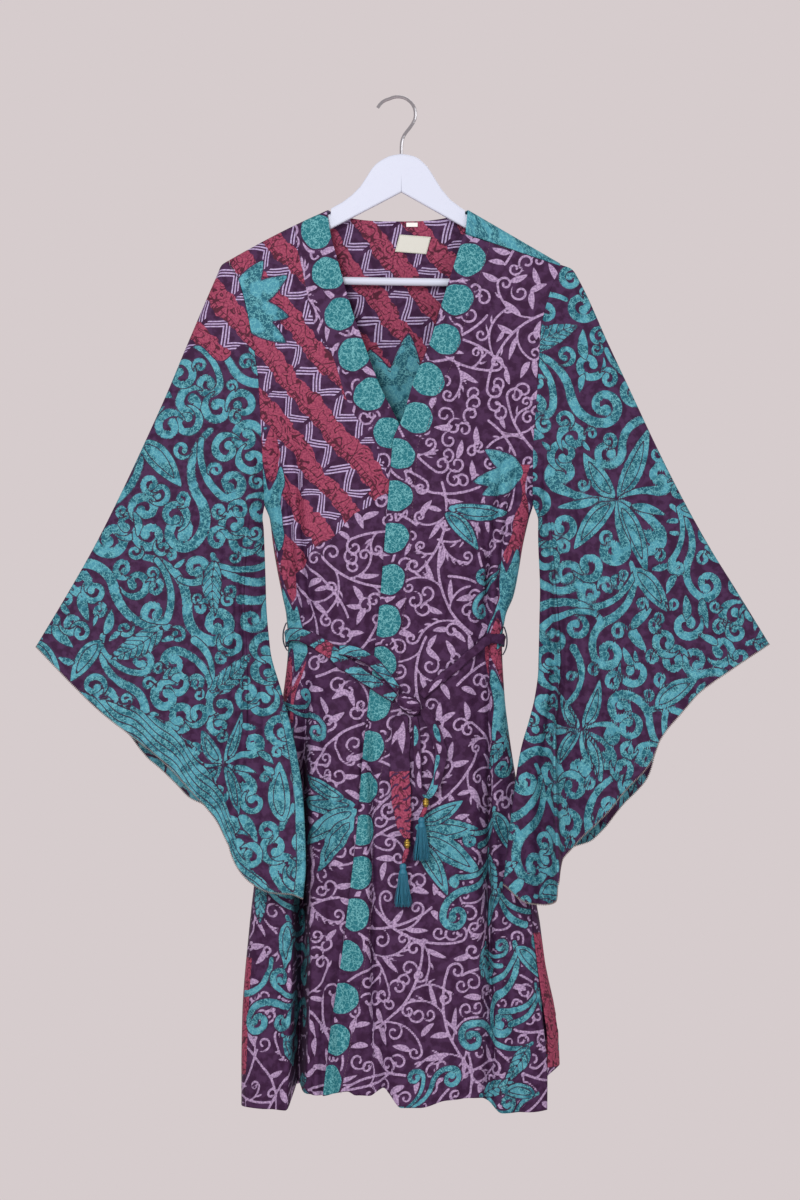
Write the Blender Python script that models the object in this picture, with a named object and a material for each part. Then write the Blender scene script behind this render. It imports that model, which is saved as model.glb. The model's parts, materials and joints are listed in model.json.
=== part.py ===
"""A wrap robe in the kimono manner, with bell sleeves and its own tasselled belt, on a white wooden hanger.

The frame is in metres, +Z up, seen from -Y. Its origin is the inside top of the hook. Sizes below are in
millimetres. Left and right in the names are the wearer's, so the left front lies at +X and on top.
"""

import math

import bmesh
import bpy
import numpy as np

MM = 0.001
CLOTH = 1.3  # wall of the panels and sleeves: the crepe and the air in its surface
SEAM = 0.3  # gap between pieces that are sewn together or lie on each other
LABEL_WALL = 0.7
UNDERLAY = CLOTH + 1.1  # how far the right front lies below the left one where they overlap

# The robe
NECK_POINT = (84.0, -135.0)  # where the collar line crosses the shoulder fold, each side
NECK_TURN = 3.6  # width in which the back neck turns behind the hanger
NECK_DIP = 12.8  # how far the back neck sinks between the neck points
SHOULDER_END = {-1: (202.0, -195.0), 1: (194.0, -199.0)}
SHOULDER_CROWN = {-1: 2.0, 1: 0.0}  # rise of the shoulder fold over a straight line
SHOULDER_ROLL = 12.0  # height over which the cloth turns down from the fold
FORWARD_SEAM = (28.0, 3.0)  # how far the left shoulder seam lies below the fold, at the neck and at its end
UNDERARM = -482.0
ARMHOLE_ROWS = 8  # rows of the panels between the shoulder and the underarm
OVER_ROWS = 3  # rows of the back that pass over the left shoulder
BELT_HEIGHT = -650.0
HEM = -1200.0  # mean height of the hem
LEVEL = -560.0  # below it the rows of a panel are level, above it they follow the shoulder
HEM_BLEND = (-1020.0, 180.0)  # where the rows start to follow the hem line, and within what height
PANEL_ROWS = 27
FRONT_STEPS = 23  # points across a front
BACK_STEPS = 27
SLEEVE_RINGS = 14
SLEEVE_AROUND = 28

# Sections of the body: height, half width at the wearer's right and left, depth in front and behind
BODY_COLUMNS = ("z", "right", "left", "front", "back")
BODY = (
    (-130, 208, 206, 9, 9),
    (-195, 202, 195, 11, 11),
    (-220, 190, 184, 14, 13),
    (-274, 177, 171, 19, 17),
    (-340, 167, 167, 25, 22),
    (-425, 163, 162, 30, 26),
    (-482, 161, 162, 32, 28),
    (-505, 153, 156, 33, 28),
    (-536, 149, 149, 33, 28),
    (-566, 144, 144, 33, 28),
    (-596, 138, 138, 32, 27),
    (-622, 133, 128, 30, 25),
    (-655, 131, 124, 28, 24),
    (-717, 137, 127, 32, 27),
    (-760, 144, 132, 36, 30),
    (-806, 151, 139, 40, 33),
    (-900, 166, 156, 47, 38),
    (-1000, 178, 171, 54, 43),
    (-1100, 186, 186, 60, 48),
    (-1160, 187, 193, 63, 50),
    (-1220, 187, 194, 66, 52),
)
# Half depth of the armhole seam down its height
ARMHOLE_COLUMNS = ("z", "depth")
ARMHOLE = (
    (-130, 9), (-195, 10), (-220, 12), (-274, 16), (-340, 18), (-400, 16), (-450, 9), (-482, 1), (-500, 0),
)

# Front edges: the neck edge of each front and its way down to the hem
EDGE_COLUMNS = ("z", "x")
RIGHT_EDGE = (
    (-135, -85), (-162, -81), (-196, -72), (-249, -57), (-300, -39), (-345, -22), (-385, -2),
    (-440, 26), (-520, 58), (-620, 72), (-900, 74), (-1220, 70),
)
LEFT_EDGE = (
    (-135, 83), (-158, 80), (-187, 71), (-245, 53), (-300, 36), (-337, 20), (-385, 5), (-412, -6),
    (-446, -9), (-506, -14), (-572, -19), (-667, -28), (-765, -40), (-864, -48), (-955, -58),
    (-1047, -70), (-1120, -80), (-1220, -92),
)
# Where the side seam lies round the section, in degrees from the middle of the front
SIDE_COLUMNS = ("z", "right", "left")
SIDE_SEAM = ((-130, 90, 90), (-850, 90, 90), (-950, 90, 72), (-1220, 90, 66))

# The hem line of the fronts and of the back: where it lies across, and its height over the mean
HEM_COLUMNS = ("x", "rise")
FRONT_HEM = (
    (-190, -8), (-134, -9), (-126, 8), (-120, 22), (-112, 11), (-88, 9), (-60, 15), (-50, 10), (-34, 10),
    (-18, 19), (-10, 12), (4, -4), (26, -4), (58, 4), (98, 7), (110, 0), (124, -12), (160, -12), (200, -6),
)
BACK_HEM = ((-195, -4), (-150, 6), (-100, 16), (-50, 12), (0, 20), (60, 12), (110, 18), (160, 22), (195, 42))

# Folds: where each lies at its top and foot, its reach in height, how deep it sinks at its foot and at its
# top, and its half width
FOLD_COLUMNS = ("x_top", "x_foot", "z_top", "z_foot", "deep_foot", "deep_top", "half")
FRONT_FOLDS = (
    (-108, -121, -690, -1260, 42, 6, 6.5),
    (-112, -152, -700, -1240, 9, 3, 8),
    (-96, -78, -700, -1240, 13, 3, 9),
    (-70, -40, -860, -1250, 8, 0, 10),
    (-150, -126, -380, -640, 5, 2, 5),
    (-137, -117, -430, -635, 5, 1, 5),
    (-22, -12, -860, -1250, 14, 0, 8),
    (96, 110, -470, -1250, 16, 3, 8),
    (38, 52, -760, -1240, 7, 0, 14),
    (78, 80, -740, -1240, 8, 2, 9),
    (112, 146, -690, -1240, 9, 2, 9),
    (142, 119, -360, -645, 5, 2, 6),
    (124, 104, -420, -640, 5, 1, 6),
)
BACK_FOLDS = (
    (-104, -142, -700, -1250, 14, 3, 11),
    (-64, -84, -690, -1250, 16, 3, 10),
    (-24, -30, -700, -1250, 10, 2, 12),
    (26, 32, -700, -1250, 14, 3, 11),
    (70, 88, -690, -1250, 17, 3, 10),
    (106, 146, -700, -1250, 12, 3, 11),
    (-90, -98, -330, -640, 5, 1, 9),
    (92, 100, -330, -640, 5, 1, 9),
    (20, 6, -420, -645, 4, 0, 10),
)

# Sleeves: three border curves each, as x, y, z. The top and inner edges run from the armhole to the mouth,
# and the mouth from its tip to its inner corner
RIGHT_SLEEVE_TOP = (
    (-202, 0, -195), (-211, 0, -201), (-216, 0, -212), (-252, -1, -296), (-277, -2, -356), (-304, -3, -416),
    (-332, -4, -476), (-362, -5, -536), (-396, -6, -596), (-433, -8, -658),
)
RIGHT_SLEEVE_INNER = (
    (-162, 0, -484), (-157, -3, -520), (-157, -12, -598), (-153, -26, -661), (-138, -42, -717), (-121, -55, -787),
    (-113, -64, -844), (-110, -72, -917), (-113, -75, -955),
)
RIGHT_SLEEVE_MOUTH = (
    (-433, -8, -658), (-401, -10, -691), (-358, -14, -733), (-314, -20, -767), (-280, -30, -794),
    (-246, -36, -828), (-217, -44, -862), (-204, -58, -885), (-192, -50, -915), (-172, -64, -938),
    (-150, -72, -948), (-126, -68, -950), (-113, -75, -955),
)
LEFT_SLEEVE_TOP = (
    (194, 0, -199), (207, 0, -204), (214, 0, -214), (252, -1, -296), (280, -2, -356), (308, -3, -416),
    (338, -4, -476), (371, -5, -536), (408, -6, -596), (444, -8, -655),
)
LEFT_SLEEVE_INNER = (
    (163, 0, -484), (164, -4, -520), (169, -14, -600), (168, -30, -686), (164, -38, -718), (157, -45, -746),
    (148, -54, -776), (142, -61, -806), (131, -73, -888), (125, -78, -938),
)
LEFT_SLEEVE_MOUTH = (
    (444, -8, -655), (412, -10, -676), (385, -16, -694), (358, -20, -714), (337, -30, -737), (314, -30, -765),
    (299, -40, -797), (267, -40, -831), (244, -52, -858), (209, -56, -893), (193, -64, -912), (189, -72, -938),
    (188, -70, -956), (174, -60, -963), (153, -74, -960), (125, -78, -938),
)
SLEEVE_DEPTH = 15.0  # half depth of the sleeve at its mouth
# Folds down a sleeve: place from its top edge to its inner edge, depth at the mouth, half width
SLEEVE_FOLD_COLUMNS = ("place", "deep", "half")
SLEEVE_FOLDS = (
    (0.22, 5, 0.06), (0.42, 9, 0.05), (0.56, -7, 0.05), (0.68, 10, 0.045), (0.80, -8, 0.04), (0.90, 7, 0.035),
)
RING_CROWD = 1.4  # brings a sleeve's rings closer together at the armhole
SLEEVE_STAND_OFF = 8.0  # how far the sleeve stands off the side below the armhole seam
# How far each sleeve's back layer hangs below the front one, and where, from its top edge to its inner edge
PEEK = {-1: (14.0, 0.30, 0.62), 1: (17.0, 0.34, 0.72)}

# The hanger
HANGER_HALF = 5.5  # half its thickness
HANGER_CENTRE = 4.0
BAR_RADIUS = 4.7
BAR_HEIGHT = -220.0
BAR_HALF_LENGTH = 176.0
ARM_HEIGHT = 22.0
UNDER_CLOTH = 2.7  # the arm's top below the shoulder fold
HOOK_WIRE = 2.0  # radius of the wire
HOOK_RADIUS = 21.0  # of the wire's centre line
HANGER_UNDER = -113.0  # the notch in the middle of its underside
UNDER_SLOPE = {-1: 0.52, 1: 0.56}
EDGE_ROUND = (2.2, 4.2)  # of the shaped middle and of the arms under the cloth
BAR_TILT = -0.0155
# Profile of the shaped middle: distance from the middle, top at the wearer's right and left
HANGER_COLUMNS = ("x", "right", "left")
HANGER_MIDDLE = (
    (0, -67, -67), (12, -68.8, -68.8), (22, -73.2, -73.2), (27, -76.5, -78), (32, -80.6, -83), (36, -85.5, -89.4),
    (40, -91.7, -96), (46.5, -102.6, -106.5), (56, -113.4, -119.2), (68, -123, -129), (79, -129.8, -136),
    (90, -134.8, -141),
)

# The belt
BELT_THICK = 3.2
BEAD_RADIUS = 4.4
BEAD_HEIGHT = 10.5
BEAD_END = 62.0  # where its barrel is cut off, in degrees from its middle
TASSEL_LENGTH = 50.0
TASSEL_HEAD = ((0, 1.6), (1.5, 3.4), (4.5, 3.9), (7.0, 3.3), (8.5, 4.0), (12.0, 5.2))  # drop and radius
THREAD_GAP = 0.28  # inset of each thread's root from its neighbours
THREAD_STEPS = ((0.45, 0.5), (1.0, 0.5))  # share of the thread's length, and how far it flares by there
THREAD_TAPER = 0.8


def column(table, names, name):
    """One named column of a table, as numbers."""
    return np.array([row[names.index(name)] for row in table], float)


def smooth(at, xs, ys):
    """A curve with no overshoot through the points (xs, ys), for xs in rising order."""
    xs, ys, at = np.asarray(xs, float), np.asarray(ys, float), np.asarray(at, float)
    step = np.diff(xs)
    slope = np.diff(ys) / step
    tangent = np.zeros(len(xs))
    tangent[1:-1] = np.where(slope[:-1] * slope[1:] > 0, 2 * slope[:-1] * slope[1:], 0) / np.where(
        slope[:-1] * slope[1:] > 0, slope[:-1] + slope[1:], 1
    )
    tangent[0], tangent[-1] = slope[0], slope[-1]
    at = np.clip(at, xs[0], xs[-1])
    i = np.clip(np.searchsorted(xs, at) - 1, 0, len(step) - 1)
    t = (at - xs[i]) / step[i]
    return (
        ys[i] * (2 * t**3 - 3 * t**2 + 1)
        + step[i] * tangent[i] * (t**3 - 2 * t**2 + t)
        + ys[i + 1] * (3 * t**2 - 2 * t**3)
        + step[i] * tangent[i + 1] * (t**3 - t**2)
    )


def by_height(table, names, name, z):
    """A column of a table whose rows run downwards, read at height z."""
    return smooth(-np.asarray(z, float), -column(table, names, "z"), column(table, names, name))


def ease(t):
    """0 to 1 with soft ends."""
    t = np.clip(t, 0.0, 1.0)
    return t * t * (3 - 2 * t)


def fold_line(x):
    """Height of the shoulder fold over x. Inside the neck the line is carried on steeply upwards."""
    x = np.asarray(x, float)
    height = np.zeros_like(x)
    for side in (-1, 1):
        end_x, end_z = SHOULDER_END[side]
        t = (np.abs(x) - NECK_POINT[0]) / (end_x - NECK_POINT[0])
        line = NECK_POINT[1] + (end_z - NECK_POINT[1]) * np.where(t < 0, 5 * t, t)
        line = line + SHOULDER_CROWN[side] * np.sin(math.pi * np.clip(t, 0, 1))
        height = np.where(x * side >= 0, line, height)
    return height


def folds(table, x, z):
    """How far the folds sink the surface at (x, z)."""
    sunk = np.zeros(np.broadcast(x, z).shape)
    for row in table:
        fold = dict(zip(FOLD_COLUMNS, row))
        down = np.clip((fold["z_top"] - z) / (fold["z_top"] - fold["z_foot"]), 0, 1)
        middle = fold["x_top"] + (fold["x_foot"] - fold["x_top"]) * down
        reach = ease((fold["z_top"] - z) / 60 + 0.5) * ease((z - fold["z_foot"]) / 40 + 0.5)
        deep = fold["deep_top"] + (fold["deep_foot"] - fold["deep_top"]) * down
        sunk = sunk + deep * reach * np.exp(-(((x - middle) / fold["half"]) ** 2))
    return sunk


def body_y(x, z, face):
    """Depth of the cloth's inner face at (x, z) on one side of the body: -1 in front, 1 behind."""
    x, z = np.asarray(x, float), np.asarray(z, float)
    half = np.where(x < 0, by_height(BODY, BODY_COLUMNS, "right", z), by_height(BODY, BODY_COLUMNS, "left", z))
    out = np.clip(np.abs(x) / half, 0, 1)
    centre = by_height(BODY, BODY_COLUMNS, "front" if face < 0 else "back", z)
    seam = by_height(ARMHOLE, ARMHOLE_COLUMNS, "depth", z)
    roundness = 1.0 - 0.5 * ease((UNDERARM + 30 - z) / 70)
    shape = (1 - out**2.4) ** roundness
    sunk = folds(FRONT_FOLDS if face < 0 else BACK_FOLDS, x, z) * np.clip(4 * (1 - out), 0, 1)
    depth = seam + (centre - seam) * shape - sunk
    drop = np.clip((fold_line(x) - z) / SHOULDER_ROLL, 0, 1)
    return face * depth * np.sqrt(1 - (1 - drop) ** 2)


def spaced(start, end, count, table, strength=3.0):
    """count shares of the way from start to end, closer together at the sides and where folds reach the hem."""
    fine = np.linspace(0, 1, 400)
    x = start + (end - start) * fine
    crowd = 1 + 3.5 * np.exp(-((1 - np.abs(x) / abs(end)) / 0.06) ** 2)
    for row in table:
        fold = dict(zip(FOLD_COLUMNS, row))
        near = np.exp(-(((x - fold["x_foot"]) / (1.7 * fold["half"])) ** 2))
        crowd = crowd + strength * fold["deep_foot"] / 20 * near
    length = np.concatenate([[0], np.cumsum((crowd[1:] + crowd[:-1]) / 2)])
    return np.interp(np.linspace(0, length[-1], count), length, fine)


def row_heights(count):
    """Heights of a panel's rows, close together over the shoulder, with one at the underarm."""
    near = SHOULDER_END[-1][1] - np.array([0.0, 2.0, 6.0, 13.0, 26.0, 48.0])
    armhole = np.linspace(near[-1], UNDERARM, ARMHOLE_ROWS + 1)[1:]
    return np.concatenate([near, armhole, np.linspace(UNDERARM, HEM, count - len(near) - ARMHOLE_ROWS + 1)[1:]])


def seam_drop(across):
    """How far the left shoulder seam lies below the fold, from the neck (0) to the armhole (1)."""
    return FORWARD_SEAM[0] + (FORWARD_SEAM[1] - FORWARD_SEAM[0]) * across


def front_panel(side, rows, columns):
    """Grid of one front's inner points. Columns run from the front edge to the armhole and side seam."""
    edge = LEFT_EDGE if side > 0 else RIGHT_EDGE
    name = "left" if side > 0 else "right"
    heights = row_heights(rows)
    foot_in = column(edge, EDGE_COLUMNS, "x")[-1]
    foot_out = side * BODY[-1][BODY_COLUMNS.index(name)]
    share = spaced(foot_in, foot_out, columns, FRONT_FOLDS)
    grid = np.zeros((rows, columns, 3))
    for i, z_row in enumerate(heights):
        fade = ease((z_row - LEVEL) / (heights[0] - LEVEL))
        lift = (NECK_POINT[1] - heights[0]) * fade
        forward = (side > 0) * ease((z_row - heights[0] + 160) / 160)
        z_in = z_row + lift - seam_drop(0) * forward
        x_in = by_height(edge, EDGE_COLUMNS, "x", z_in)
        half = by_height(BODY, BODY_COLUMNS, name, z_row)
        seam = math.radians(float(by_height(SIDE_SEAM, SIDE_COLUMNS, name, z_row)))
        x = x_in + (side * half * math.sin(seam) - x_in) * share
        across = (x - x[0]) / (x[-1] - x[0])
        top = side * (NECK_POINT[0] + (SHOULDER_END[side][0] - NECK_POINT[0]) * across)
        z = z_row + (fold_line(top) - heights[0]) * fade - (seam_drop(across) + 2 * SEAM) * forward
        hem = smooth(x, column(FRONT_HEM, HEM_COLUMNS, "x"), column(FRONT_HEM, HEM_COLUMNS, "rise"))
        z = z + hem * ease((HEM_BLEND[0] - z_row) / HEM_BLEND[1])
        y = body_y(x, z, -1)
        if side < 0:
            overlap = ease((x - by_height(LEFT_EDGE, EDGE_COLUMNS, "x", z) + 26) / 24)
            deepest = np.max([body_y(x + reach, z, -1) for reach in (-9, -6, -3, 0, 3, 6, 9)], axis=0)
            y = y + (deepest + UNDERLAY - y) * overlap
        y[-1] = min(y[-1], -SEAM / 2)
        grid[i] = np.stack([x, y, z], axis=1)
    return grid


def back_panel(rows, columns):
    """Grid of the back's inner points, with the rows that pass over the left shoulder to the forward seam."""
    heights = row_heights(rows)
    over = OVER_ROWS
    share = spaced(-190.0, 190.0, columns, BACK_FOLDS, 2.0) * 2 - 1
    neck = [int(np.argmin(np.abs(share - side * NECK_POINT[0] / SHOULDER_END[side][0]))) for side in (-1, 1)]
    for j, side in zip(neck, (-1, 1)):
        share[j] = side * NECK_POINT[0] / SHOULDER_END[side][0]
        share[j - side] = side * (NECK_POINT[0] - NECK_TURN) / SHOULDER_END[side][0]
    grid = np.zeros((rows + over, columns, 3))
    there = np.ones((rows + over, columns), bool)
    there[:over, : neck[1]] = False
    for i, z_row in enumerate(heights):
        fade = ease((z_row - LEVEL) / (heights[0] - LEVEL))
        x = np.zeros(columns)
        z = np.zeros(columns)
        face = np.ones(columns)
        for j, s in enumerate(share):
            side = -1 if s < 0 else 1
            name = "left" if side > 0 else "right"
            half = float(by_height(BODY, BODY_COLUMNS, name, z_row))
            half = half + (SHOULDER_END[side][0] - half) * ease((z_row - heights[0] + 12) / 12)
            turn = 1 - math.sin(math.radians(float(by_height(SIDE_SEAM, SIDE_COLUMNS, name, z_row))))
            path = abs(s) * half * (1 + turn)
            face[j] = 1 if path <= half else -1
            x[j] = side * (half - abs(half - path)) if path > half else side * path
            top_x = SHOULDER_END[side][0] * s
            top_z = float(fold_line(top_x))
            if abs(top_x) < NECK_POINT[0]:
                top_z = NECK_POINT[1] - NECK_DIP * (1 - abs(top_x / NECK_POINT[0]) ** 3)
            z[j] = z_row + (top_z - heights[0]) * fade
        hem = smooth(x, column(BACK_HEM, HEM_COLUMNS, "x"), column(BACK_HEM, HEM_COLUMNS, "rise"))
        z = z + hem * ease((HEM_BLEND[0] - z_row) / HEM_BLEND[1])
        y = np.where(face > 0, body_y(x, z, 1), body_y(x, z, -1))
        y[0] = max(y[0], SEAM / 2)
        if face[-1] > 0:
            y[-1] = max(y[-1], SEAM / 2)
        else:
            x[-1] += 2 * SEAM
        grid[i + over] = np.stack([x, y, z], axis=1)
    for k in range(over):
        t = (over - k) / over
        for j in range(neck[1], columns):
            x, _, top = grid[over, j]
            across = (x - NECK_POINT[0]) / (SHOULDER_END[1][0] - NECK_POINT[0])
            grid[k, j] = (x - 3.0 * t * (1 - across), 0, top - seam_drop(across) * t**1.6)
            grid[k, j, 1] = float(body_y(grid[k, j, 0], grid[k, j, 2], -1))
    return grid, there


def normals_of(grid, there, closed=False):
    """Unit normals at a grid's points, from its neighbours that are there."""
    rows, columns = there.shape
    normal = np.zeros_like(grid)
    for i in range(rows):
        for j in range(columns):
            if not there[i, j]:
                continue
            up = i - 1 if i > 0 and there[i - 1, j] else i
            down = i + 1 if i < rows - 1 and there[i + 1, j] else i
            before, after = j - 1, j + 1
            if closed:
                before, after = before % columns, after % columns
            before = before if before >= 0 and there[i, before] else j
            after = after if after < columns and there[i, after] else j
            n = np.cross(grid[i, after] - grid[i, before], grid[down, j] - grid[up, j])
            normal[i, j] = n / max(np.linalg.norm(n), 1e-9)
    return normal


def cloth_shell(name, grid, outward, there=None, closed=False, wall=CLOTH):
    """A closed wall between a grid of points and the same points moved along their normals, or against them at -1."""
    rows, columns = grid.shape[:2]
    there = np.ones((rows, columns), bool) if there is None else there
    moved = grid + outward * wall * normals_of(grid, there, closed)
    mesh = bmesh.new()
    spots = [(i, j) for i in range(rows) for j in range(columns) if there[i, j]]
    skins = [{spot: mesh.verts.new(points[spot] * MM) for spot in spots} for points in (grid, moved)]
    last = columns if closed else columns - 1
    for i in range(rows - 1):
        for j in range(last):
            corners = [(i, j), (i, (j + 1) % columns), (i + 1, (j + 1) % columns), (i + 1, j)]
            if all(c in skins[0] for c in corners):
                mesh.faces.new([skins[0][c] for c in corners])
                mesh.faces.new([skins[1][c] for c in reversed(corners)])
    key = {vert: c for skin in skins for c, vert in skin.items()}
    first_skin = set(skins[0].values())
    rim = [edge.verts[:] for edge in mesh.edges if edge.is_boundary and first_skin.issuperset(edge.verts)]
    for a, b in rim:
        mesh.faces.new([a, b, skins[1][key[b]], skins[1][key[a]]])
    return finish(name, mesh)


def finish(name, mesh, smooth_angle=40.0):
    """Turns a bmesh into a shaded object with outward faces."""
    loose = [v for v in mesh.verts if not v.link_faces]
    bmesh.ops.delete(mesh, geom=loose, context="VERTS")
    bmesh.ops.triangulate(mesh, faces=mesh.faces[:])
    bmesh.ops.recalc_face_normals(mesh, faces=mesh.faces[:])
    if mesh.calc_volume(signed=True) < 0:
        bmesh.ops.reverse_faces(mesh, faces=mesh.faces[:])
    data = bpy.data.meshes.new(name)
    mesh.to_mesh(data)
    mesh.free()
    data.shade_smooth()
    data.set_sharp_from_angle(angle=math.radians(smooth_angle))
    piece = bpy.data.objects.new(name, data)
    bpy.context.scene.collection.objects.link(piece)
    return piece


def loft(name, sections, smooth_angle=40.0):
    """A closed solid through rings of the same number of points, with its two ends filled."""
    mesh = bmesh.new()
    rings = [[mesh.verts.new(np.asarray(p, float) * MM) for p in ring] for ring in sections]
    for one, two in zip(rings[:-1], rings[1:]):
        for k in range(len(one)):
            m = (k + 1) % len(one)
            mesh.faces.new([one[k], one[m], two[m], two[k]])
    mesh.faces.new(list(reversed(rings[0])))
    mesh.faces.new(rings[-1])
    return finish(name, mesh, smooth_angle)


def resample(points, count, crowd=1.0):
    """count points along a smooth curve through the given ones, closer at its start if crowd is over 1."""
    points = np.asarray(points, float)
    run = np.concatenate([[0], np.cumsum(np.linalg.norm(np.diff(points, axis=0), axis=1))])
    fine_run = np.linspace(0, run[-1], 300)
    fine = np.stack([smooth(fine_run, run, points[:, k]) for k in range(points.shape[1])], axis=1)
    length = np.concatenate([[0], np.cumsum(np.linalg.norm(np.diff(fine, axis=0), axis=1))])
    want = length[-1] * np.linspace(0, 1, count) ** crowd
    return np.stack([np.interp(want, length, fine[:, k]) for k in range(points.shape[1])], axis=1)


def sleeve(side, rings, around, borders):
    """Rings of one sleeve's inner points, from the armhole to the mouth, each once round the tube."""
    top, inner, mouth = (
        (LEFT_SLEEVE_TOP, LEFT_SLEEVE_INNER, LEFT_SLEEVE_MOUTH)
        if side > 0
        else (RIGHT_SLEEVE_TOP, RIGHT_SLEEVE_INNER, RIGHT_SLEEVE_MOUTH)
    )
    half_ring = around // 2
    place = (1 - np.cos(np.pi * np.arange(half_ring + 1) / half_ring)) / 2
    place = 0.45 * place + 0.55 * np.arange(half_ring + 1) / half_ring
    seams = []
    for border in borders:
        border = border[border[:, 2] > UNDERARM - 1]
        run = np.concatenate([[0], np.cumsum(np.linalg.norm(np.diff(border, axis=0), axis=1))])
        seams.append(np.stack([np.interp(place * run[-1], run, border[:, k]) for k in range(3)], axis=1))
    seam_ring = (seams[0] + seams[1]) / 2
    seam_depth = (seams[1][:, 1] - seams[0][:, 1]) / 2
    top_line = resample(top, rings, RING_CROWD)
    inner_line = resample(inner, rings, RING_CROWD)
    mouth_line = resample(mouth, 101)
    along = np.linspace(0, 1, len(mouth_line))
    mouth_ring = np.stack([np.interp(place, along, mouth_line[:, k]) for k in range(3)], axis=1)
    grid = np.zeros((rings, around, 3))
    for i in range(rings):
        q = (i / (rings - 1)) ** RING_CROWD
        r = place[:, None]
        corner = (
            (1 - q) * (1 - r) * top_line[0] + (1 - q) * r * inner_line[0]
            + q * (1 - r) * top_line[-1] + q * r * inner_line[-1]
        )
        middle = (1 - q) * seam_ring + q * mouth_ring + (1 - r) * top_line[i] + r * inner_line[i] - corner
        pleat = np.zeros_like(place)
        for row in SLEEVE_FOLDS:
            fold = dict(zip(SLEEVE_FOLD_COLUMNS, row))
            pleat = pleat + fold["deep"] * np.exp(-(((place - fold["place"]) / fold["half"]) ** 2))
        middle[:, 1] += pleat * ease(q * 1.15)
        bulge = SLEEVE_DEPTH * (1 - np.abs(2 * place - 1) ** 2.6) ** 0.5
        half = seam_depth + (bulge - seam_depth) * ease(q * 2.2)
        middle[:, 0] += side * SLEEVE_STAND_OFF * ease(q * 18) * (1 - q) ** 4 * ease((place - 0.2) / 0.5)
        front = middle.copy()
        front[:, 1] -= half
        back = middle.copy()
        back[:, 1] += half
        lower, starts, ends = PEEK[side]
        hangs = ease((place - starts) / 0.1) * ease((ends - place) / 0.1)
        back[:, 2] -= lower * ease((q - 0.7) / 0.3) * hangs
        grid[i, : half_ring + 1] = front
        grid[i, half_ring:] = back[::-1][:half_ring]
        grid[i, 0] = middle[0]
        grid[i, half_ring] = middle[-1]
    grid[0, : half_ring + 1] = seams[0]
    grid[0, half_ring:] = seams[1][::-1][:half_ring]
    grid[0, :, 0] += side * (SEAM + 0.5)
    low = ease((np.concatenate([place, place[::-1][1:-1]]) - 0.6) / 0.35)
    grid[0, :, 0] += side * low * 0.9
    grid[0, 0, 1] = 0
    grid[0, half_ring] += np.array([side * SEAM, 0, -SEAM])
    return grid


def ribbon(name, rows, thick=BELT_THICK, sides=8):
    """A flat band along a smooth line. Rows hold x, y, z, width, roll and, from -Y, where its face looks."""
    run = np.linalg.norm(np.diff(np.asarray(rows, float)[:, :3], axis=0), axis=1).sum()
    rows = np.array(rows, float)
    rows[:, 5] = np.degrees(np.unwrap(np.radians(rows[:, 5])))
    rows = resample(rows, max(6, int(run / 9)))
    centre, width, roll, looks = rows[:, :3], rows[:, 3], np.radians(rows[:, 4]), np.radians(rows[:, 5])
    tangent = np.gradient(centre, axis=0)
    tangent /= np.linalg.norm(tangent, axis=1)[:, None]
    sections = []
    for c, w, a, look, t in zip(centre, width, roll, looks, tangent):
        out = np.array([math.sin(look), -math.cos(look), 0.0])
        wide = np.cross(t, out)
        wide /= np.linalg.norm(wide)
        out = np.cross(wide, t)
        wide, out = wide * math.cos(a) + out * math.sin(a), out * math.cos(a) - wide * math.sin(a)
        ring = []
        for k in range(sides):
            angle = 2 * math.pi * (k + 0.5) / sides
            across = math.copysign(abs(math.cos(angle)) ** 0.6, math.cos(angle))
            ring.append(c + wide * across * w / 2 + out * math.sin(angle) * thick / 2)
        sections.append(ring)
    return loft(name, sections)


def round_body(angle, z, off, reach=9.0):
    """A point off the body's surface at an angle from the middle of the front, and where its face looks."""
    angle = math.radians(angle)
    name = "left" if math.sin(angle) > 0 else "right"
    face = -1 if math.cos(angle) > 0 else 1
    spots = []
    for step in (-1, 0, 1):
        half = float(by_height(BODY, BODY_COLUMNS, name, BELT_HEIGHT))
        x = half * math.sin(angle + 0.03 * step)
        spots.append((x, face * max(abs(float(body_y(x, z + reach * k, face))) for k in (-1, 0, 1))))
    along = np.array(spots[2]) - np.array(spots[0])
    out = np.array([-along[1], along[0]]) / np.linalg.norm(along)
    if out @ np.array([math.sin(angle), -math.cos(angle)]) < 0:
        out = -out
    x, y = np.array(spots[1]) + out * off
    return x, y, math.degrees(math.atan2(out[0], -out[1]))


def wound(rows):
    """Belt rows given as angle round the body, z, distance off the cloth, width and roll."""
    placed = []
    for angle, z, off, width, roll in rows:
        x, y, looks = round_body(angle, z, off)
        placed.append((x, y, z, width, roll, looks))
    return placed


def level_ring(x, y, z, radius, sides):
    """Points of a level circle."""
    angles = 2 * math.pi * np.arange(sides) / sides
    return [(x + radius * math.cos(a), y + radius * math.sin(a), z) for a in angles]


def lathe(name, profile, x, y, sides=12, ribs=0.0):
    """A turned solid about a vertical line. Profile rows are height and radius, from the top down."""
    sections = []
    for z, radius in profile:
        ring = []
        for k in range(sides):
            angle = 2 * math.pi * k / sides
            r = radius * (1 + ribs * (-1) ** k)
            ring.append((x + r * math.cos(angle), y + r * math.sin(angle), z))
        sections.append(ring)
    return loft(name, sections, 30.0)


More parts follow.
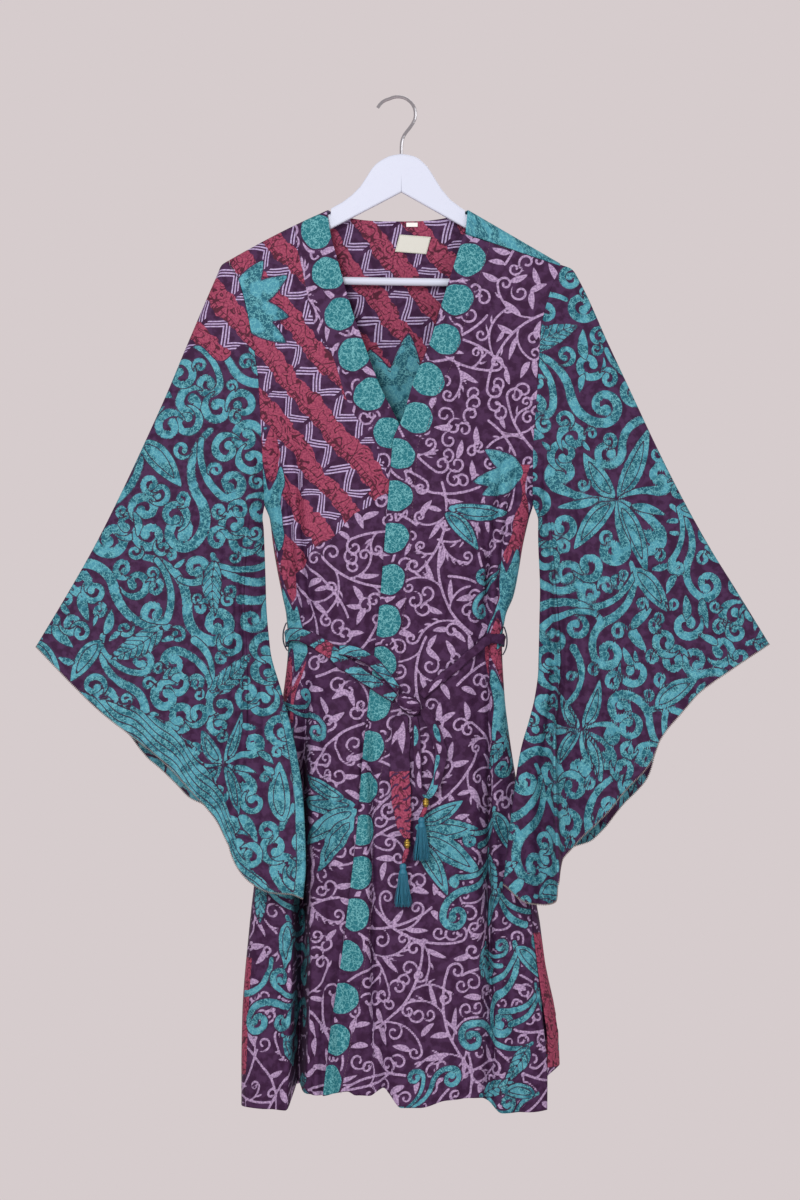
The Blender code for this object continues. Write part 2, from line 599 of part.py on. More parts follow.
def tassel(name, x, y, top, spread, rings=3, sides=10):
    """A bound head with threads. Each cell of its underside is drawn down into one thread."""
    mesh = bmesh.new()
    foot, foot_radius = TASSEL_HEAD[-1]
    inside = [(foot, foot_radius * (rings - n) / rings) for n in range(1, rings)]
    rows = []
    for drop, radius in (*TASSEL_HEAD, *inside):
        rows.append([mesh.verts.new(np.array(p) * MM) for p in level_ring(x, y, top - drop, radius, sides)])
    mesh.faces.new(rows[0])
    cells = []
    for number, (one, two) in enumerate(zip(rows[:-1], rows[1:])):
        band = [mesh.faces.new([one[k], two[k], two[(k + 1) % sides], one[(k + 1) % sides]]) for k in range(sides)]
        if number >= len(TASSEL_HEAD) - 1:
            cells += band
    cells.append(mesh.faces.new(rows[-1]))
    bmesh.ops.inset_individual(mesh, faces=cells, thickness=THREAD_GAP * MM)
    for drop, flare in THREAD_STEPS:
        cells = bmesh.ops.extrude_discrete_faces(mesh, faces=cells)["faces"]
        for number, face in enumerate(cells):
            middle = np.array(face.calc_center_median()) / MM
            length = (TASSEL_LENGTH - foot) * (1 + 0.05 * math.sin(number * 1.7))
            grow = 1 + (spread - 1) * flare
            target = np.array([
                x + (middle[0] - x) * grow + 0.9 * math.sin(number * 2.39 + 1.0) * flare,
                y + (middle[1] - y) * (0.6 + 0.4 * grow) + 0.5 * math.cos(number * 1.3) * flare,
                top - foot - length * drop,
            ])
            for vert in face.verts:
                vert.co = (target + (np.array(vert.co) / MM - middle) * THREAD_TAPER) * MM
    return finish(name, mesh, 20.0)


def front_at(x, z, out):
    """A point that lies a stated distance in front of the left front's surface."""
    reach = 9.0
    near = [float(body_y(x + dx, z, -1)) for dx in (-reach, 0.0, reach)]
    return (x, min(near) - out, z)


def laid(rows):
    """Belt rows given as x, z, distance off the cloth, width and roll, set on the front's surface."""
    return [(*front_at(x, z, out), width, roll, 0.0) for x, z, out, width, roll in rows]


def hanger_outline(x):
    """Top and underside of the hanger over x, and how far its edges are rounded."""
    side = -1 if x < HANGER_CENTRE else 1
    away = abs(x - HANGER_CENTRE)
    tops = column(HANGER_MIDDLE, HANGER_COLUMNS, "left" if side > 0 else "right")
    top = float(smooth(away, column(HANGER_MIDDLE, HANGER_COLUMNS, "x"), tops))
    under = HANGER_UNDER - UNDER_SLOPE[side] * away
    edge = EDGE_ROUND[0]
    if abs(x) > NECK_POINT[0] - NECK_TURN:
        top = min(top, NECK_POINT[1] - UNDER_CLOTH - 1)
        edge = EDGE_ROUND[1]
    if abs(x) > NECK_POINT[0] + 4:
        top = float(fold_line(x)) - UNDER_CLOTH
        under = max(under, top - ARM_HEIGHT)
    return top, under, edge


def hanger():
    """The wooden body with rounded edges and a lug under each end, the bar, and the wire hook."""
    right_end, left_end = -198.0, 190.0
    stations = [0, 8, 15, 21, 26, 31, 36, 42, 49, 59, 71]
    turn_in = NECK_POINT[0] - NECK_TURN
    xs = sorted([HANGER_CENTRE - s for s in stations] + [HANGER_CENTRE + s for s in stations[1:]]
                + [side * away for side in (-1, 1) for away in (turn_in - 0.2, turn_in + 0.2, 92, 125, 155)]
                + [-BAR_HALF_LENGTH, -BAR_HALF_LENGTH - 0.4, right_end + 4, right_end]
                + [BAR_HALF_LENGTH, BAR_HALF_LENGTH + 0.4, left_end - 4, left_end])
    sections = []
    for x in xs:
        top, under, edge = hanger_outline(x)
        if abs(x) > BAR_HALF_LENGTH + 0.2:
            under = BAR_HEIGHT - 9.0
        half = HANGER_HALF
        if x in (right_end, left_end):
            top, under, half, edge = top - 4.0, under + 4.0, half - 2.5, edge - 1.5
        flat = half - edge
        ring = []
        corners = ((flat, top - edge), (-flat, top - edge), (-flat, under + edge), (flat, under + edge))
        for quarter, (corner_y, corner_z) in enumerate(corners):
            for step in range(3):
                angle = math.pi / 2 * (quarter + step / 2)
                ring.append((x, corner_y + min(edge, half) * math.cos(angle), corner_z + edge * math.sin(angle)))
        sections.append(ring)
    loft("hanger_body", sections)
    bar = []
    for x in (-BAR_HALF_LENGTH + 0.1, -BAR_HALF_LENGTH / 3, BAR_HALF_LENGTH / 3, BAR_HALF_LENGTH - 0.1):
        bar.append([(x, BAR_RADIUS * math.cos(a), BAR_HEIGHT + BAR_TILT * x + BAR_RADIUS * math.sin(a))
                    for a in np.linspace(0, 2 * math.pi, 16, endpoint=False)])
    loft("hanger_bar", bar)
    turn = np.radians(np.linspace(118, -15, 11))
    centre_z = HOOK_WIRE - HOOK_RADIUS
    bend = [(-24.5, 0, -11.5), (-21.0, 0, -6.5), (-16.0, 0, -2.6)]
    bend += [(HOOK_RADIUS * math.cos(a), 0, centre_z + HOOK_RADIUS * math.sin(a)) for a in turn]
    bend += [(17.5, 0, -30.5), (12.5, 0, -37.5), (7.5, 0, -44.0), (4.6, 0, -52.0), (HANGER_CENTRE, 0, -60.0),
             (HANGER_CENTRE, 0, -66.6)]
    path = resample(bend, 26)
    tangent = np.gradient(path, axis=0)
    tangent /= np.linalg.norm(tangent, axis=1)[:, None]
    wire = []
    for p, t in zip(path, tangent):
        side = np.cross(t, (0, 1, 0))
        ring = [p + HOOK_WIRE * (side * math.cos(a) + np.array((0, 1, 0)) * math.sin(a))
                for a in np.linspace(0, 2 * math.pi, 8, endpoint=False)]
        wire.append(ring)
    loft("hanger_hook", wire)


def labels():
    """The blank neck label and the small size tab, on the inside of the back."""
    for name, x0, x1, z0, z1, slope, lean in (
        ("neck_label", 1.9, 39.6, -162.6, -183.2, 0.08, 0.27),
        ("size_tab", 10.0, 23.6, -148.4, -153.4, 0.0, 0.0),
    ):
        grid = np.zeros((3, 5, 3))
        for i, z in enumerate(np.linspace(z0, z1, 3)):
            for j, x in enumerate(np.linspace(x0, x1, 5)):
                at_x, at_z = x - lean * (z0 - z), z - slope * (x - x0)
                grid[i, j] = (at_x, float(body_y(at_x, at_z, 1)) - SEAM, at_z)
        cloth_shell(name, grid, outward=-1, wall=LABEL_WALL)


def belt():
    """The belt's stretches, its knot, bow loop, ends, beads and tassels, and the two loops it passes."""
    off = BELT_THICK / 2 + SEAM + 1.7
    ribbon("belt_back", wound([(angle, BELT_HEIGHT, off, 17, 0) for angle in range(92, 269, 11)]))
    ribbon("belt_front_right", wound([(-87, -647, off + 0.4, 16, 0), (-78, -644, off + 0.8, 16, 0)]) + laid(
        [(-118, -643, 6.0, 17, 10), (-104, -649, 5.0, 18, -8), (-86, -659, 4.0, 18, 6), (-66, -676, 4.0, 18, 0),
         (-40, -694, 4.0, 17, 8), (-16, -710, 5.0, 15, 0), (-4, -719, 6.0, 12, 0)]))
    ribbon("belt_front_left", wound([(87, -651, off + 0.4, 13, 0), (78, -649, off + 0.8, 13, 0)]) + laid(
        [(112, -648, 4.6, 12, 15), (92, -662, 3.4, 11, 0), (70, -681, 3.2, 11, 10), (46, -700, 3.8, 11, 0),
         (28, -716, 6.4, 10, 0)]))
    ribbon("belt_twist", laid(
        [(-70, -661, 7.6, 13, 0), (-52, -664, 8.6, 16, 25), (-30, -676, 9.0, 15, -20), (-14, -692, 9.6, 12, 10),
         (1, -709, 10.4, 9, 0)]), thick=4.0)
    knot = front_at(13, -726, 9.3)
    sections = []
    for t in np.linspace(-1, 1, 9):
        size = math.sqrt(max(1 - (0.97 * t) ** 2, 0.0))
        ring = []
        for k in range(12):
            a = 2 * math.pi * k / 12
            crease = 1 - 0.13 * math.cos(3 * a + 2 * t)
            ring.append((knot[0] + 14 * t, knot[1] + 7.5 * size * crease * math.cos(a),
                         knot[2] - 3 * t + 12 * size * crease * math.sin(a)))
        sections.append(ring)
    loft("belt_knot", sections)
    ribbon("belt_bow_loop", laid(
        [(30, -731, 7.0, 11, 0), (41, -752, 5.9, 15, 20), (51, -785, 4.7, 15, 0), (47, -812, 5.5, 13, -15),
         (34, -835, 12.6, 10, 0), (25, -826, 10.4, 9, 0), (23, -790, 4.7, 10, 12), (22, -760, 5.2, 9, 0),
         (19, -741, 6.0, 8, 0)]), thick=2.6)
    ribbon("belt_end_long", laid(
        [(4, -740, 5.6, 16, 0), (3, -765, 4.4, 24, 8), (2, -800, 4.2, 25, -8), (4, -840, 6.0, 24, 6),
         (7, -868, 9.0, 18, 0), (11, -885.4, 11.8, 7, 0)]), thick=2.6)
    for name, x, top, neck, tip, out in (("long", 11, -886, 18, 6, 12.0), ("short", 33, -837.4, 12, 28, 11.3)):
        y = front_at(x, top - 20, out)[1]
        half = BEAD_HEIGHT / 2
        barrel = np.radians(np.linspace(BEAD_END, -BEAD_END, 7))
        rise = half / math.sin(barrel[0])
        lathe(f"bead_{name}", [(top - half + rise * math.sin(a), BEAD_RADIUS * math.cos(a)) for a in barrel],
              x, y, sides=14, ribs=0.06)
        foot = top - BEAD_HEIGHT
        lean = (tip - x) / neck
        sections = []
        for d, r in ((SEAM, 2.2), (4, 3.4), (neck * 0.6, 3.0), (neck - 0.4, 2.0)):
            sections.append(level_ring(x + lean * d, y, foot - d, r, 10))
        loft(f"belt_neck_{name}", sections)
        tassel(f"tassel_{name}", tip, y, foot - neck, 2.1)
    for name, side, height in (("right", -1, -646), ("left", 1, -651)):
        half = float(by_height(BODY, BODY_COLUMNS, name, height))
        off = BELT_THICK + 4.6
        rows = []
        for t in np.linspace(-1, 1, 9):
            near = float(by_height(BODY, BODY_COLUMNS, name, height - 17 * t))
            rows.append((side * (near + 4.1 + (half + off - near - 4.1) * (1 - t**4)), 0.0, height - 17 * t))
        sections = []
        for x, y, z in rows:
            sections.append([(x + side * dx, y + dy, z) for dx, dy in ((-0.7, -3), (0.7, -3), (0.7, 3), (-0.7, 3))])
        loft(f"belt_loop_{name}", sections)


def material(name, colour, roughness, metallic=0.0):
    """A plain Principled material."""
    made = bpy.data.materials.new(name)
    made.use_nodes = True
    shader = made.node_tree.nodes["Principled BSDF"]
    shader.inputs["Base Color"].default_value = (*colour, 1)
    shader.inputs["Roughness"].default_value = roughness
    shader.inputs["Metallic"].default_value = metallic
    return made


def dress():
    """Gives each piece its material."""
    looks = (
        ("sleeve", "teal_print", (0.10, 0.30, 0.32), 0.6, 0),
        ("front", "plum_print", (0.12, 0.05, 0.10), 0.6, 0),
        ("back", "plum_back", (0.14, 0.08, 0.13), 0.6, 0),
        ("belt", "belt_cloth", (0.16, 0.08, 0.14), 0.6, 0),
        ("hanger_body", "painted_wood", (0.80, 0.80, 0.90), 0.4, 0),
        ("hanger_bar", "painted_bar", (0.80, 0.80, 0.88), 0.4, 0),
        ("hanger_hook", "chromed_wire", (0.75, 0.75, 0.76), 0.15, 1),
        ("bead", "gilt", (0.60, 0.42, 0.10), 0.3, 1),
        ("tassel", "teal_thread", (0.01, 0.12, 0.17), 0.7, 0),
        ("neck_label", "label_tape", (0.72, 0.73, 0.65), 0.8, 0),
        ("size_tab", "tab_tape", (0.82, 0.82, 0.80), 0.8, 0),
    )
    for piece in list(bpy.context.scene.collection.objects):
        for start, name, colour, roughness, metallic in looks:
            if piece.name.startswith(start):
                piece.data.materials.append(material(f"{name}_{piece.name}", colour, roughness, metallic))
                break


def main():
    for thing in list(bpy.data.objects):
        bpy.data.objects.remove(thing, do_unlink=True)
    fronts = {side: front_panel(side, PANEL_ROWS, FRONT_STEPS) for side in (-1, 1)}
    back, there = back_panel(PANEL_ROWS, BACK_STEPS)
    cloth_shell("front_right", fronts[-1], outward=1)
    cloth_shell("front_left", fronts[1], outward=-1)
    cloth_shell("back", back, outward=1, there=there)
    for side, name in ((-1, "right"), (1, "left")):
        borders = (fronts[side][:, -1], back[OVER_ROWS:, 0 if side < 0 else -1])
        tube = sleeve(side, SLEEVE_RINGS, SLEEVE_AROUND, borders)
        cloth_shell(f"sleeve_{name}", tube, outward=side, closed=True)
    labels()
    hanger()
    belt()
    dress()


main()
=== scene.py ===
# %% [markdown]
# # A kimono robe on its hanger
# A printed crepe robe hangs from a white shaped hanger, tied with its own belt. The solids of the frame
# already have every size, so each piece here is laid on them, in metres, with the inside top of the hook at
# the origin. Sizes are written in millimetres and turned to metres where a mesh is made.

# %% Load the frame
import json
import math

import bpy
import numpy as np
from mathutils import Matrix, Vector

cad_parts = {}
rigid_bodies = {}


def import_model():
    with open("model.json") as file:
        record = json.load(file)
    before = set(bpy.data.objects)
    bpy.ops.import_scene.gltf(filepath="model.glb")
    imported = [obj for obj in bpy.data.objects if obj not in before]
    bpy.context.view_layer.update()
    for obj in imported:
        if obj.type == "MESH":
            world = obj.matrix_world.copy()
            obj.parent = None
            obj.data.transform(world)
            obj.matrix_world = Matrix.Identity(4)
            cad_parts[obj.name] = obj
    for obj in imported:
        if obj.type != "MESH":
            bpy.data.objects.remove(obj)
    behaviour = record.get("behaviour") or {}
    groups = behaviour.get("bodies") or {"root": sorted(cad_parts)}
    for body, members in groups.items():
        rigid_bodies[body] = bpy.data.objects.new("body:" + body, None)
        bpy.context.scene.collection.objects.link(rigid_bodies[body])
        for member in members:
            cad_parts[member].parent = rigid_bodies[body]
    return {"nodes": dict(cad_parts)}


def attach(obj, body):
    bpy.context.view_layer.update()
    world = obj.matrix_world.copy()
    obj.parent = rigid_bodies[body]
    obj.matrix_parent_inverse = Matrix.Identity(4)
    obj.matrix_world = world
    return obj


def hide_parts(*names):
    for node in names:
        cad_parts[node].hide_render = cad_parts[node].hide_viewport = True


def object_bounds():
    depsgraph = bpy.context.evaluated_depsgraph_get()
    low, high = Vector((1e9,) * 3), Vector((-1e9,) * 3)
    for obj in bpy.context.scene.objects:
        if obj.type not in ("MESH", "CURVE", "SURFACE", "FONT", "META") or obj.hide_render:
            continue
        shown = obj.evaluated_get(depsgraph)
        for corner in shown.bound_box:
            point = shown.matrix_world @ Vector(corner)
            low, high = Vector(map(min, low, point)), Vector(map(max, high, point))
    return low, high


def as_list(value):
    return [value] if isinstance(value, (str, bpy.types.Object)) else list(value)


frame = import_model()
cad_box = [list(corner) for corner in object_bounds()]
MM = 0.001
BODY_NAME = "root"
print("nodes", len(frame["nodes"]), "box", [[round(v, 3) for v in corner] for corner in cad_box])

# %% [markdown]
# ## Small tools
# Colours are picked as sRGB hex, the way a paint chart gives them, and the shader wants linear light. Every
# material below is built from nodes, and one function adds a node, sets it and links it.


# %% Colours and nodes
def colour(code):
    """An sRGB hex colour as linear red, green, blue and alpha."""
    parts = [int(code[i : i + 2], 16) / 255 for i in (1, 3, 5)]
    return [p / 12.92 if p <= 0.04045 else ((p + 0.055) / 1.055) ** 2.4 for p in parts] + [1.0]


def add(tree, kind, *inputs, out=0, named=None, **settings):
    """Adds a node. Inputs are sockets, values or None in the node's order, and named ones go by socket."""
    made = tree.nodes.new(kind)
    for key, value in settings.items():
        setattr(made, key, value)
    for place, value in [*enumerate(inputs), *(named or {}).items()]:
        if isinstance(value, bpy.types.NodeSocket):
            tree.links.new(value, made.inputs[place])
        elif value is not None:
            made.inputs[place].default_value = value
    return made.outputs[out]


def new_material(name):
    """An empty material with its Principled shader."""
    made = bpy.data.materials.new(name)
    made.use_nodes = True
    return made, made.node_tree, made.node_tree.nodes["Principled BSDF"]


def dress(piece, material, slot, *nodes):
    """Gives a finished piece its material and its body, and hides the nodes it stands for. The slot is not
    used.
    """
    piece.data.materials.clear()
    piece.data.materials.append(material)
    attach(piece, BODY_NAME)
    if nodes:
        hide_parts(*nodes)


# %% [markdown]
# ## The view and the light
# The picture is taken straight from the front with a long lens, so the camera stands 5.2 m away and its field
# is 0.96 m wide at the robe. The light is a plain soft studio: one large lamp from the upper left, a weaker
# one from the right, one from behind for the edges, and an even pale surround. The floor is a plain pale disc
# well below.

# %% Camera, lamps and floor
scene = bpy.context.scene
scene.view_settings.view_transform = "Standard"
CAMERA_PLACE = (0.0024, -5.2, -0.602)
FIELD_WIDTH = 0.96
camera_data = bpy.data.cameras.new("camera")
camera_data.sensor_fit = "HORIZONTAL"
camera_data.lens = camera_data.sensor_width * -CAMERA_PLACE[1] / FIELD_WIDTH
camera = bpy.data.objects.new("camera", camera_data)
camera.location = CAMERA_PLACE
camera.rotation_euler = (math.pi / 2, 0, 0)
scene.collection.objects.link(camera)
scene.camera = camera

LAMPS = (  # name, place, what it looks at, size, watts
    ("key", (-1.3, -4.2, 1.0), (0, 0, -0.6), 1.1, 120),
    ("fill", (2.6, -3.4, 0.2), (0, 0, -0.6), 2.0, 26),
    ("rim", (0.6, 2.6, 1.2), (0, 0, -0.5), 1.6, 7),
)
for name, place, target, size, watts in LAMPS:
    lamp = bpy.data.lights.new(name, "AREA")
    lamp.size = size
    lamp.energy = watts
    holder = bpy.data.objects.new(name, lamp)
    holder.location = place
    away = np.array(place) - np.array(target)
    flat = math.hypot(away[0], away[1])
    holder.rotation_euler = (math.atan2(flat, away[2]), 0, math.atan2(away[1], away[0]) + math.pi / 2)
    scene.collection.objects.link(holder)

world = bpy.data.worlds.new("surround")
world.use_nodes = True
world.node_tree.nodes["Background"].inputs["Color"].default_value = colour("#d6cccd")
scene.world = world

bpy.ops.mesh.primitive_circle_add(vertices=96, radius=3.0, fill_type="NGON", location=(0, 0, -1.75))
floor = bpy.context.object
floor.name = "floor"
paint, tree, shader = new_material("pale_floor_paint")
shader.inputs["Base Color"].default_value = colour("#d6cccd")
shader.inputs["Roughness"].default_value = 0.9
floor.data.materials.append(paint)
print(len(LAMPS), "lamps, a camera with a field of", FIELD_WIDTH, "m")

# %% [markdown]
# ## The form of the cloth
# The solids are made from tables of sections: how wide and deep the body is at each height, where the front
# edges run, how the folds fall. The same tables serve here at a much finer step, so the thin cloth lies
# inside the solids' walls and shows the same folds, with small creases added.

# %% Sizes of the body
# All in mm. Sides are -1 for the wearer's right, at the left of the picture, and 1 for the wearer's left.
CLOTH = 0.6  # wall of the crepe
CLOTH_LIFT = 0.35  # the cloth's inner face above the solid's inner face
SEAM = 0.3  # clearance between neighbours
UNDERLAY = 2.4  # how far the right front lies behind the left one
NECK_POINT = (84.0, -135.0)  # x and z of the shoulder's top, where the neck begins
NECK_TURN = 3.6
NECK_DIP = 12.8  # the back neck's hollow
SHOULDER_END = {-1: (202.0, -195.0), 1: (194.0, -199.0)}
SHOULDER_CROWN = {-1: 2.0, 1: 0.0}
SHOULDER_ROLL = 12.0  # over this height the cloth rounds over the shoulder
FORWARD_SEAM = (28.0, 3.0)  # how far in front of the left shoulder its seam lies, at the neck and at the end
UNDERARM = -482.0
BELT_HEIGHT = -650.0
HEM = -1200.0
LEVEL = -560.0  # below this height the rows of points are level
HEM_BLEND = (-1020.0, 180.0)  # where the hem's waves start, and over what height they grow

RIGHT, LEFT, FRONT, BACK = 1, 2, 3, 4  # columns of BODY
BODY = (  # height, half width to the right and to the left, depth in front and behind
    (-130, 208, 206, 9, 9), (-195, 202, 195, 11, 11), (-220, 190, 184, 14, 13), (-274, 177, 171, 19, 17),
    (-340, 167, 167, 25, 22), (-425, 163, 162, 30, 26), (-482, 161, 162, 32, 28), (-505, 153, 156, 33, 28),
    (-536, 149, 149, 33, 28), (-566, 144, 144, 33, 28), (-596, 138, 138, 32, 27), (-622, 133, 128, 30, 25),
    (-655, 131, 124, 28, 24), (-717, 137, 127, 32, 27), (-760, 144, 132, 36, 30), (-806, 151, 139, 40, 33),
    (-900, 166, 156, 47, 38), (-1000, 178, 171, 54, 43), (-1100, 186, 186, 60, 48), (-1160, 187, 193, 63, 50),
    (-1220, 187, 194, 66, 52),
)
ARMHOLE = (  # height, depth
    (-130, 9), (-195, 10), (-220, 12), (-274, 16), (-340, 18), (-400, 16), (-450, 9), (-482, 1), (-500, 0),
)
RIGHT_EDGE = (  # height, x of the free edge
    (-135, -85), (-162, -81), (-196, -72), (-249, -57), (-300, -39), (-345, -22), (-385, -2),
    (-440, 26), (-520, 58), (-620, 72), (-900, 74), (-1220, 70),
)
LEFT_EDGE = (
    (-135, 83), (-158, 80), (-187, 71), (-245, 53), (-300, 36), (-337, 20), (-385, 5), (-412, -6),
    (-446, -9), (-506, -14), (-572, -19), (-667, -28), (-765, -40), (-864, -48), (-955, -58),
    (-1047, -70), (-1120, -80), (-1220, -92),
)
# Height, and how many degrees from the front's middle the right and the left side seam lie
SIDE_SEAM = ((-130, 90, 90), (-850, 90, 90), (-950, 90, 72), (-1220, 90, 66))
FRONT_HEM = (  # x, rise above the hem's height
    (-190, -8), (-134, -9), (-126, 8), (-120, 22), (-112, 11), (-88, 9), (-60, 15), (-50, 10), (-34, 10),
    (-18, 19), (-10, 12), (4, -4), (26, -4), (58, 4), (98, 7), (110, 0), (124, -12), (160, -12), (200, -6),
)
BACK_HEM = ((-195, -4), (-150, 6), (-100, 16), (-50, 12), (0, 20), (60, 12), (110, 18), (160, 22), (195, 42))
print(len(BODY), "sections down the body, hem", HEM, "mm below the hook")

# %% Tables of folds
FRONT_FOLDS = (  # x at top and foot, z at top and foot, depth at foot and top, half width
    (-108, -121, -690, -1260, 42, 6, 6.5), (-112, -152, -700, -1240, 9, 3, 8),
    (-96, -78, -700, -1240, 13, 3, 9), (-70, -40, -860, -1250, 8, 0, 10), (-150, -126, -380, -640, 5, 2, 5),
    (-137, -117, -430, -635, 5, 1, 5), (-22, -12, -860, -1250, 14, 0, 8), (96, 110, -470, -1250, 16, 3, 8),
    (38, 52, -760, -1240, 7, 0, 14), (78, 80, -740, -1240, 8, 2, 9), (112, 146, -690, -1240, 9, 2, 9),
    (142, 119, -360, -645, 5, 2, 6), (124, 104, -420, -640, 5, 1, 6),
)
BACK_FOLDS = (
    (-104, -142, -700, -1250, 14, 3, 11), (-64, -84, -690, -1250, 16, 3, 10),
    (-24, -30, -700, -1250, 10, 2, 12), (26, 32, -700, -1250, 14, 3, 11), (70, 88, -690, -1250, 17, 3, 10),
    (106, 146, -700, -1250, 12, 3, 11), (-90, -98, -330, -640, 5, 1, 9), (92, 100, -330, -640, 5, 1, 9),
    (20, 6, -420, -645, 4, 0, 10),
)
print(len(FRONT_FOLDS), "folds in front,", len(BACK_FOLDS), "behind")


# %% Curves through the tables
def smooth(at, xs, ys):
    """A curve with no overshoot through the points (xs, ys), for xs in rising order."""
    xs, ys, at = np.asarray(xs, float), np.asarray(ys, float), np.asarray(at, float)
    step = np.diff(xs)
    slope = np.diff(ys) / step
    tangent = np.zeros(len(xs))
    same = slope[:-1] * slope[1:] > 0
    tangent[1:-1] = np.where(same, 2 * slope[:-1] * slope[1:] / np.where(same, slope[:-1] + slope[1:], 1), 0)
    tangent[0], tangent[-1] = slope[0], slope[-1]
    at = np.clip(at, xs[0], xs[-1])
    i = np.clip(np.searchsorted(xs, at) - 1, 0, len(step) - 1)
    t = (at - xs[i]) / step[i]
    return (
        ys[i] * (2 * t**3 - 3 * t**2 + 1)
        + step[i] * tangent[i] * (t**3 - 2 * t**2 + t)
        + ys[i + 1] * (3 * t**2 - 2 * t**3)
        + step[i] * tangent[i + 1] * (t**3 - t**2)
    )


def by_height(table, z, column=1):
    """A column of a table whose rows start with their height and run downwards, read at height z."""
    rows = np.array(table, float)
    return smooth(-np.asarray(z, float), -rows[:, 0], rows[:, column])


def ease(t):
    """0 to 1 with soft ends."""
    t = np.clip(t, 0.0, 1.0)
    return t * t * (3 - 2 * t)


print("half width at the belt", round(float(by_height(BODY, BELT_HEIGHT, LEFT)), 1), "mm")


# %% Lines of points
def sums(steps, axis=0):
    """Running sums along an axis, from zero."""
    return np.insert(np.cumsum(steps, axis=axis), 0, 0.0, axis=axis)


def run_of(line):
    """Length along a line of points, up to each of them."""
    return sums(np.linalg.norm(np.diff(line, axis=0), axis=1))


def stack(*parts):
    """Points from their coordinates, whose shapes may differ where one is the same all along."""
    return np.stack(np.broadcast_arrays(*parts), axis=-1)


def on_line(line, run, at):
    """Points of a line where its run has the values at."""
    return stack(*(np.interp(at, run, values) for values in line.T))


def around(count):
    """Angles once round, in one row."""
    return np.linspace(0, 2 * math.pi, count, endpoint=False)[None, :]


def resample(points, count, crowd=1.0):
    """count points along a smooth curve through the given ones, closer at its start if crowd is over 1."""
    points = np.asarray(points, float)
    run = run_of(points)
    fine_run = np.linspace(0, run[-1], 600)
    fine = stack(*(smooth(fine_run, run, values) for values in points.T))
    length = run_of(fine)
    return on_line(fine, length, length[-1] * np.linspace(0, 1, count) ** crowd)


# %% [markdown]
# ## Creases
# Hung crepe is never smooth between its folds. It has soft drag lines from the shoulders, short dents where
# the belt gathers it and shallow waves down the skirt. Each crease is a soft trough along a line, of its own
# length, depth and width, and a slow uneven ripple lies under them all.

# %% The creases
FRONT_CREASES = (  # x and z of both ends, depth, half width
    (-117, -690, -118, -1260, 20.0, 12.5), (-146, -720, -138, -1190, 2.0, 9), (105, -470, 113, -1190, 7.5, 5),
    (-34, -700, -28, -1210, 6.0, 4.5), (-150, -1000, -156, -1210, 2.2, 6),
    (-150, -390, -124, -655, 5.0, 4.5), (-139, -430, -112, -660, 4.5, 4), (-126, -400, -100, -650, 3.6, 4.5),
    (148, -390, 121, -655, 5.0, 4.5), (139, -440, 110, -660, 4.5, 4), (126, -420, 98, -645, 3.6, 4.5),
    (-150, -215, -118, -330, 1.8, 9), (-128, -205, -108, -262, 1.2, 7), (-160, -300, -128, -420, 1.6, 8),
    (-98, -330, -86, -520, 1.2, 12), (-60, -380, -52, -560, 1.0, 10), (-120, -520, -98, -640, 1.8, 6),
    (-92, -560, -80, -648, 1.4, 5), (-66, -580, -58, -660, 1.2, 6), (-30, -600, -34, -690, 1.0, 6),
    (-88, -672, -98, -800, 1.5, 7), (-62, -690, -66, -840, 1.3, 8), (-44, -720, -50, -900, 1.1, 8),
    (-100, -900, -96, -1150, 1.6, 9), (-64, -960, -58, -1180, 1.5, 8), (-160, -900, -168, -1150, 1.5, 8),
    (140, -215, 112, -320, 1.7, 9), (120, -230, 96, -300, 1.2, 7), (150, -330, 126, -430, 1.5, 8),
    (70, -340, 62, -540, 1.3, 11), (40, -420, 36, -600, 1.0, 9), (92, -540, 84, -645, 1.8, 6),
    (60, -570, 58, -655, 1.4, 6), (28, -600, 30, -690, 1.2, 7), (4, -610, 8, -700, 1.0, 5),
    (86, -665, 96, -820, 1.6, 7), (60, -690, 66, -860, 1.4, 8), (20, -750, 24, -960, 1.3, 9),
    (-24, -930, -34, -1160, 1.5, 8), (10, -980, 12, -1170, 1.4, 8), (40, -940, 34, -1180, 1.3, 9),
    (100, -900, 128, -1160, 1.6, 9), (66, -1000, 70, -1180, 1.4, 8), (160, -960, 172, -1150, 1.4, 8),
)
BACK_CREASES = (
    (-150, -215, -100, -320, 1.6, 9), (150, -220, 104, -310, 1.5, 9), (-60, -200, -40, -300, 1.0, 12),
    (-110, -520, -96, -640, 1.7, 6), (-52, -540, -48, -645, 1.3, 6), (10, -560, 8, -645, 1.1, 6),
    (58, -530, 52, -640, 1.5, 6), (108, -550, 98, -645, 1.6, 5), (-84, -665, -96, -840, 1.5, 7),
    (-40, -665, -46, -820, 1.3, 7), (6, -668, 4, -860, 1.2, 8), (50, -665, 58, -850, 1.4, 7),
    (92, -668, 108, -830, 1.5, 6), (-120, -900, -128, -1150, 1.5, 8), (-8, -930, -6, -1160, 1.4, 9),
    (60, -900, 64, -1150, 1.5, 8), (120, -940, 130, -1140, 1.3, 8),
)
# The ripple's waves: radians per mm across and down, and where they start
RIPPLES = ((0.031, 0.013, 0.4), (0.017, -0.021, 2.1), (0.058, 0.009, 4.4), (0.024, 0.034, 1.3))
CREASE_DEPTH = 2.5  # the tables' depths and widths are multiplied by these
CREASE_WIDTH = 0.8
FLAT_FLOOR = 8.0  # creases deeper than this have a flat floor and steep walls
RIPPLE_DEPTH = 0.42
print(len(FRONT_CREASES), "creases in front,", len(BACK_CREASES), "behind")


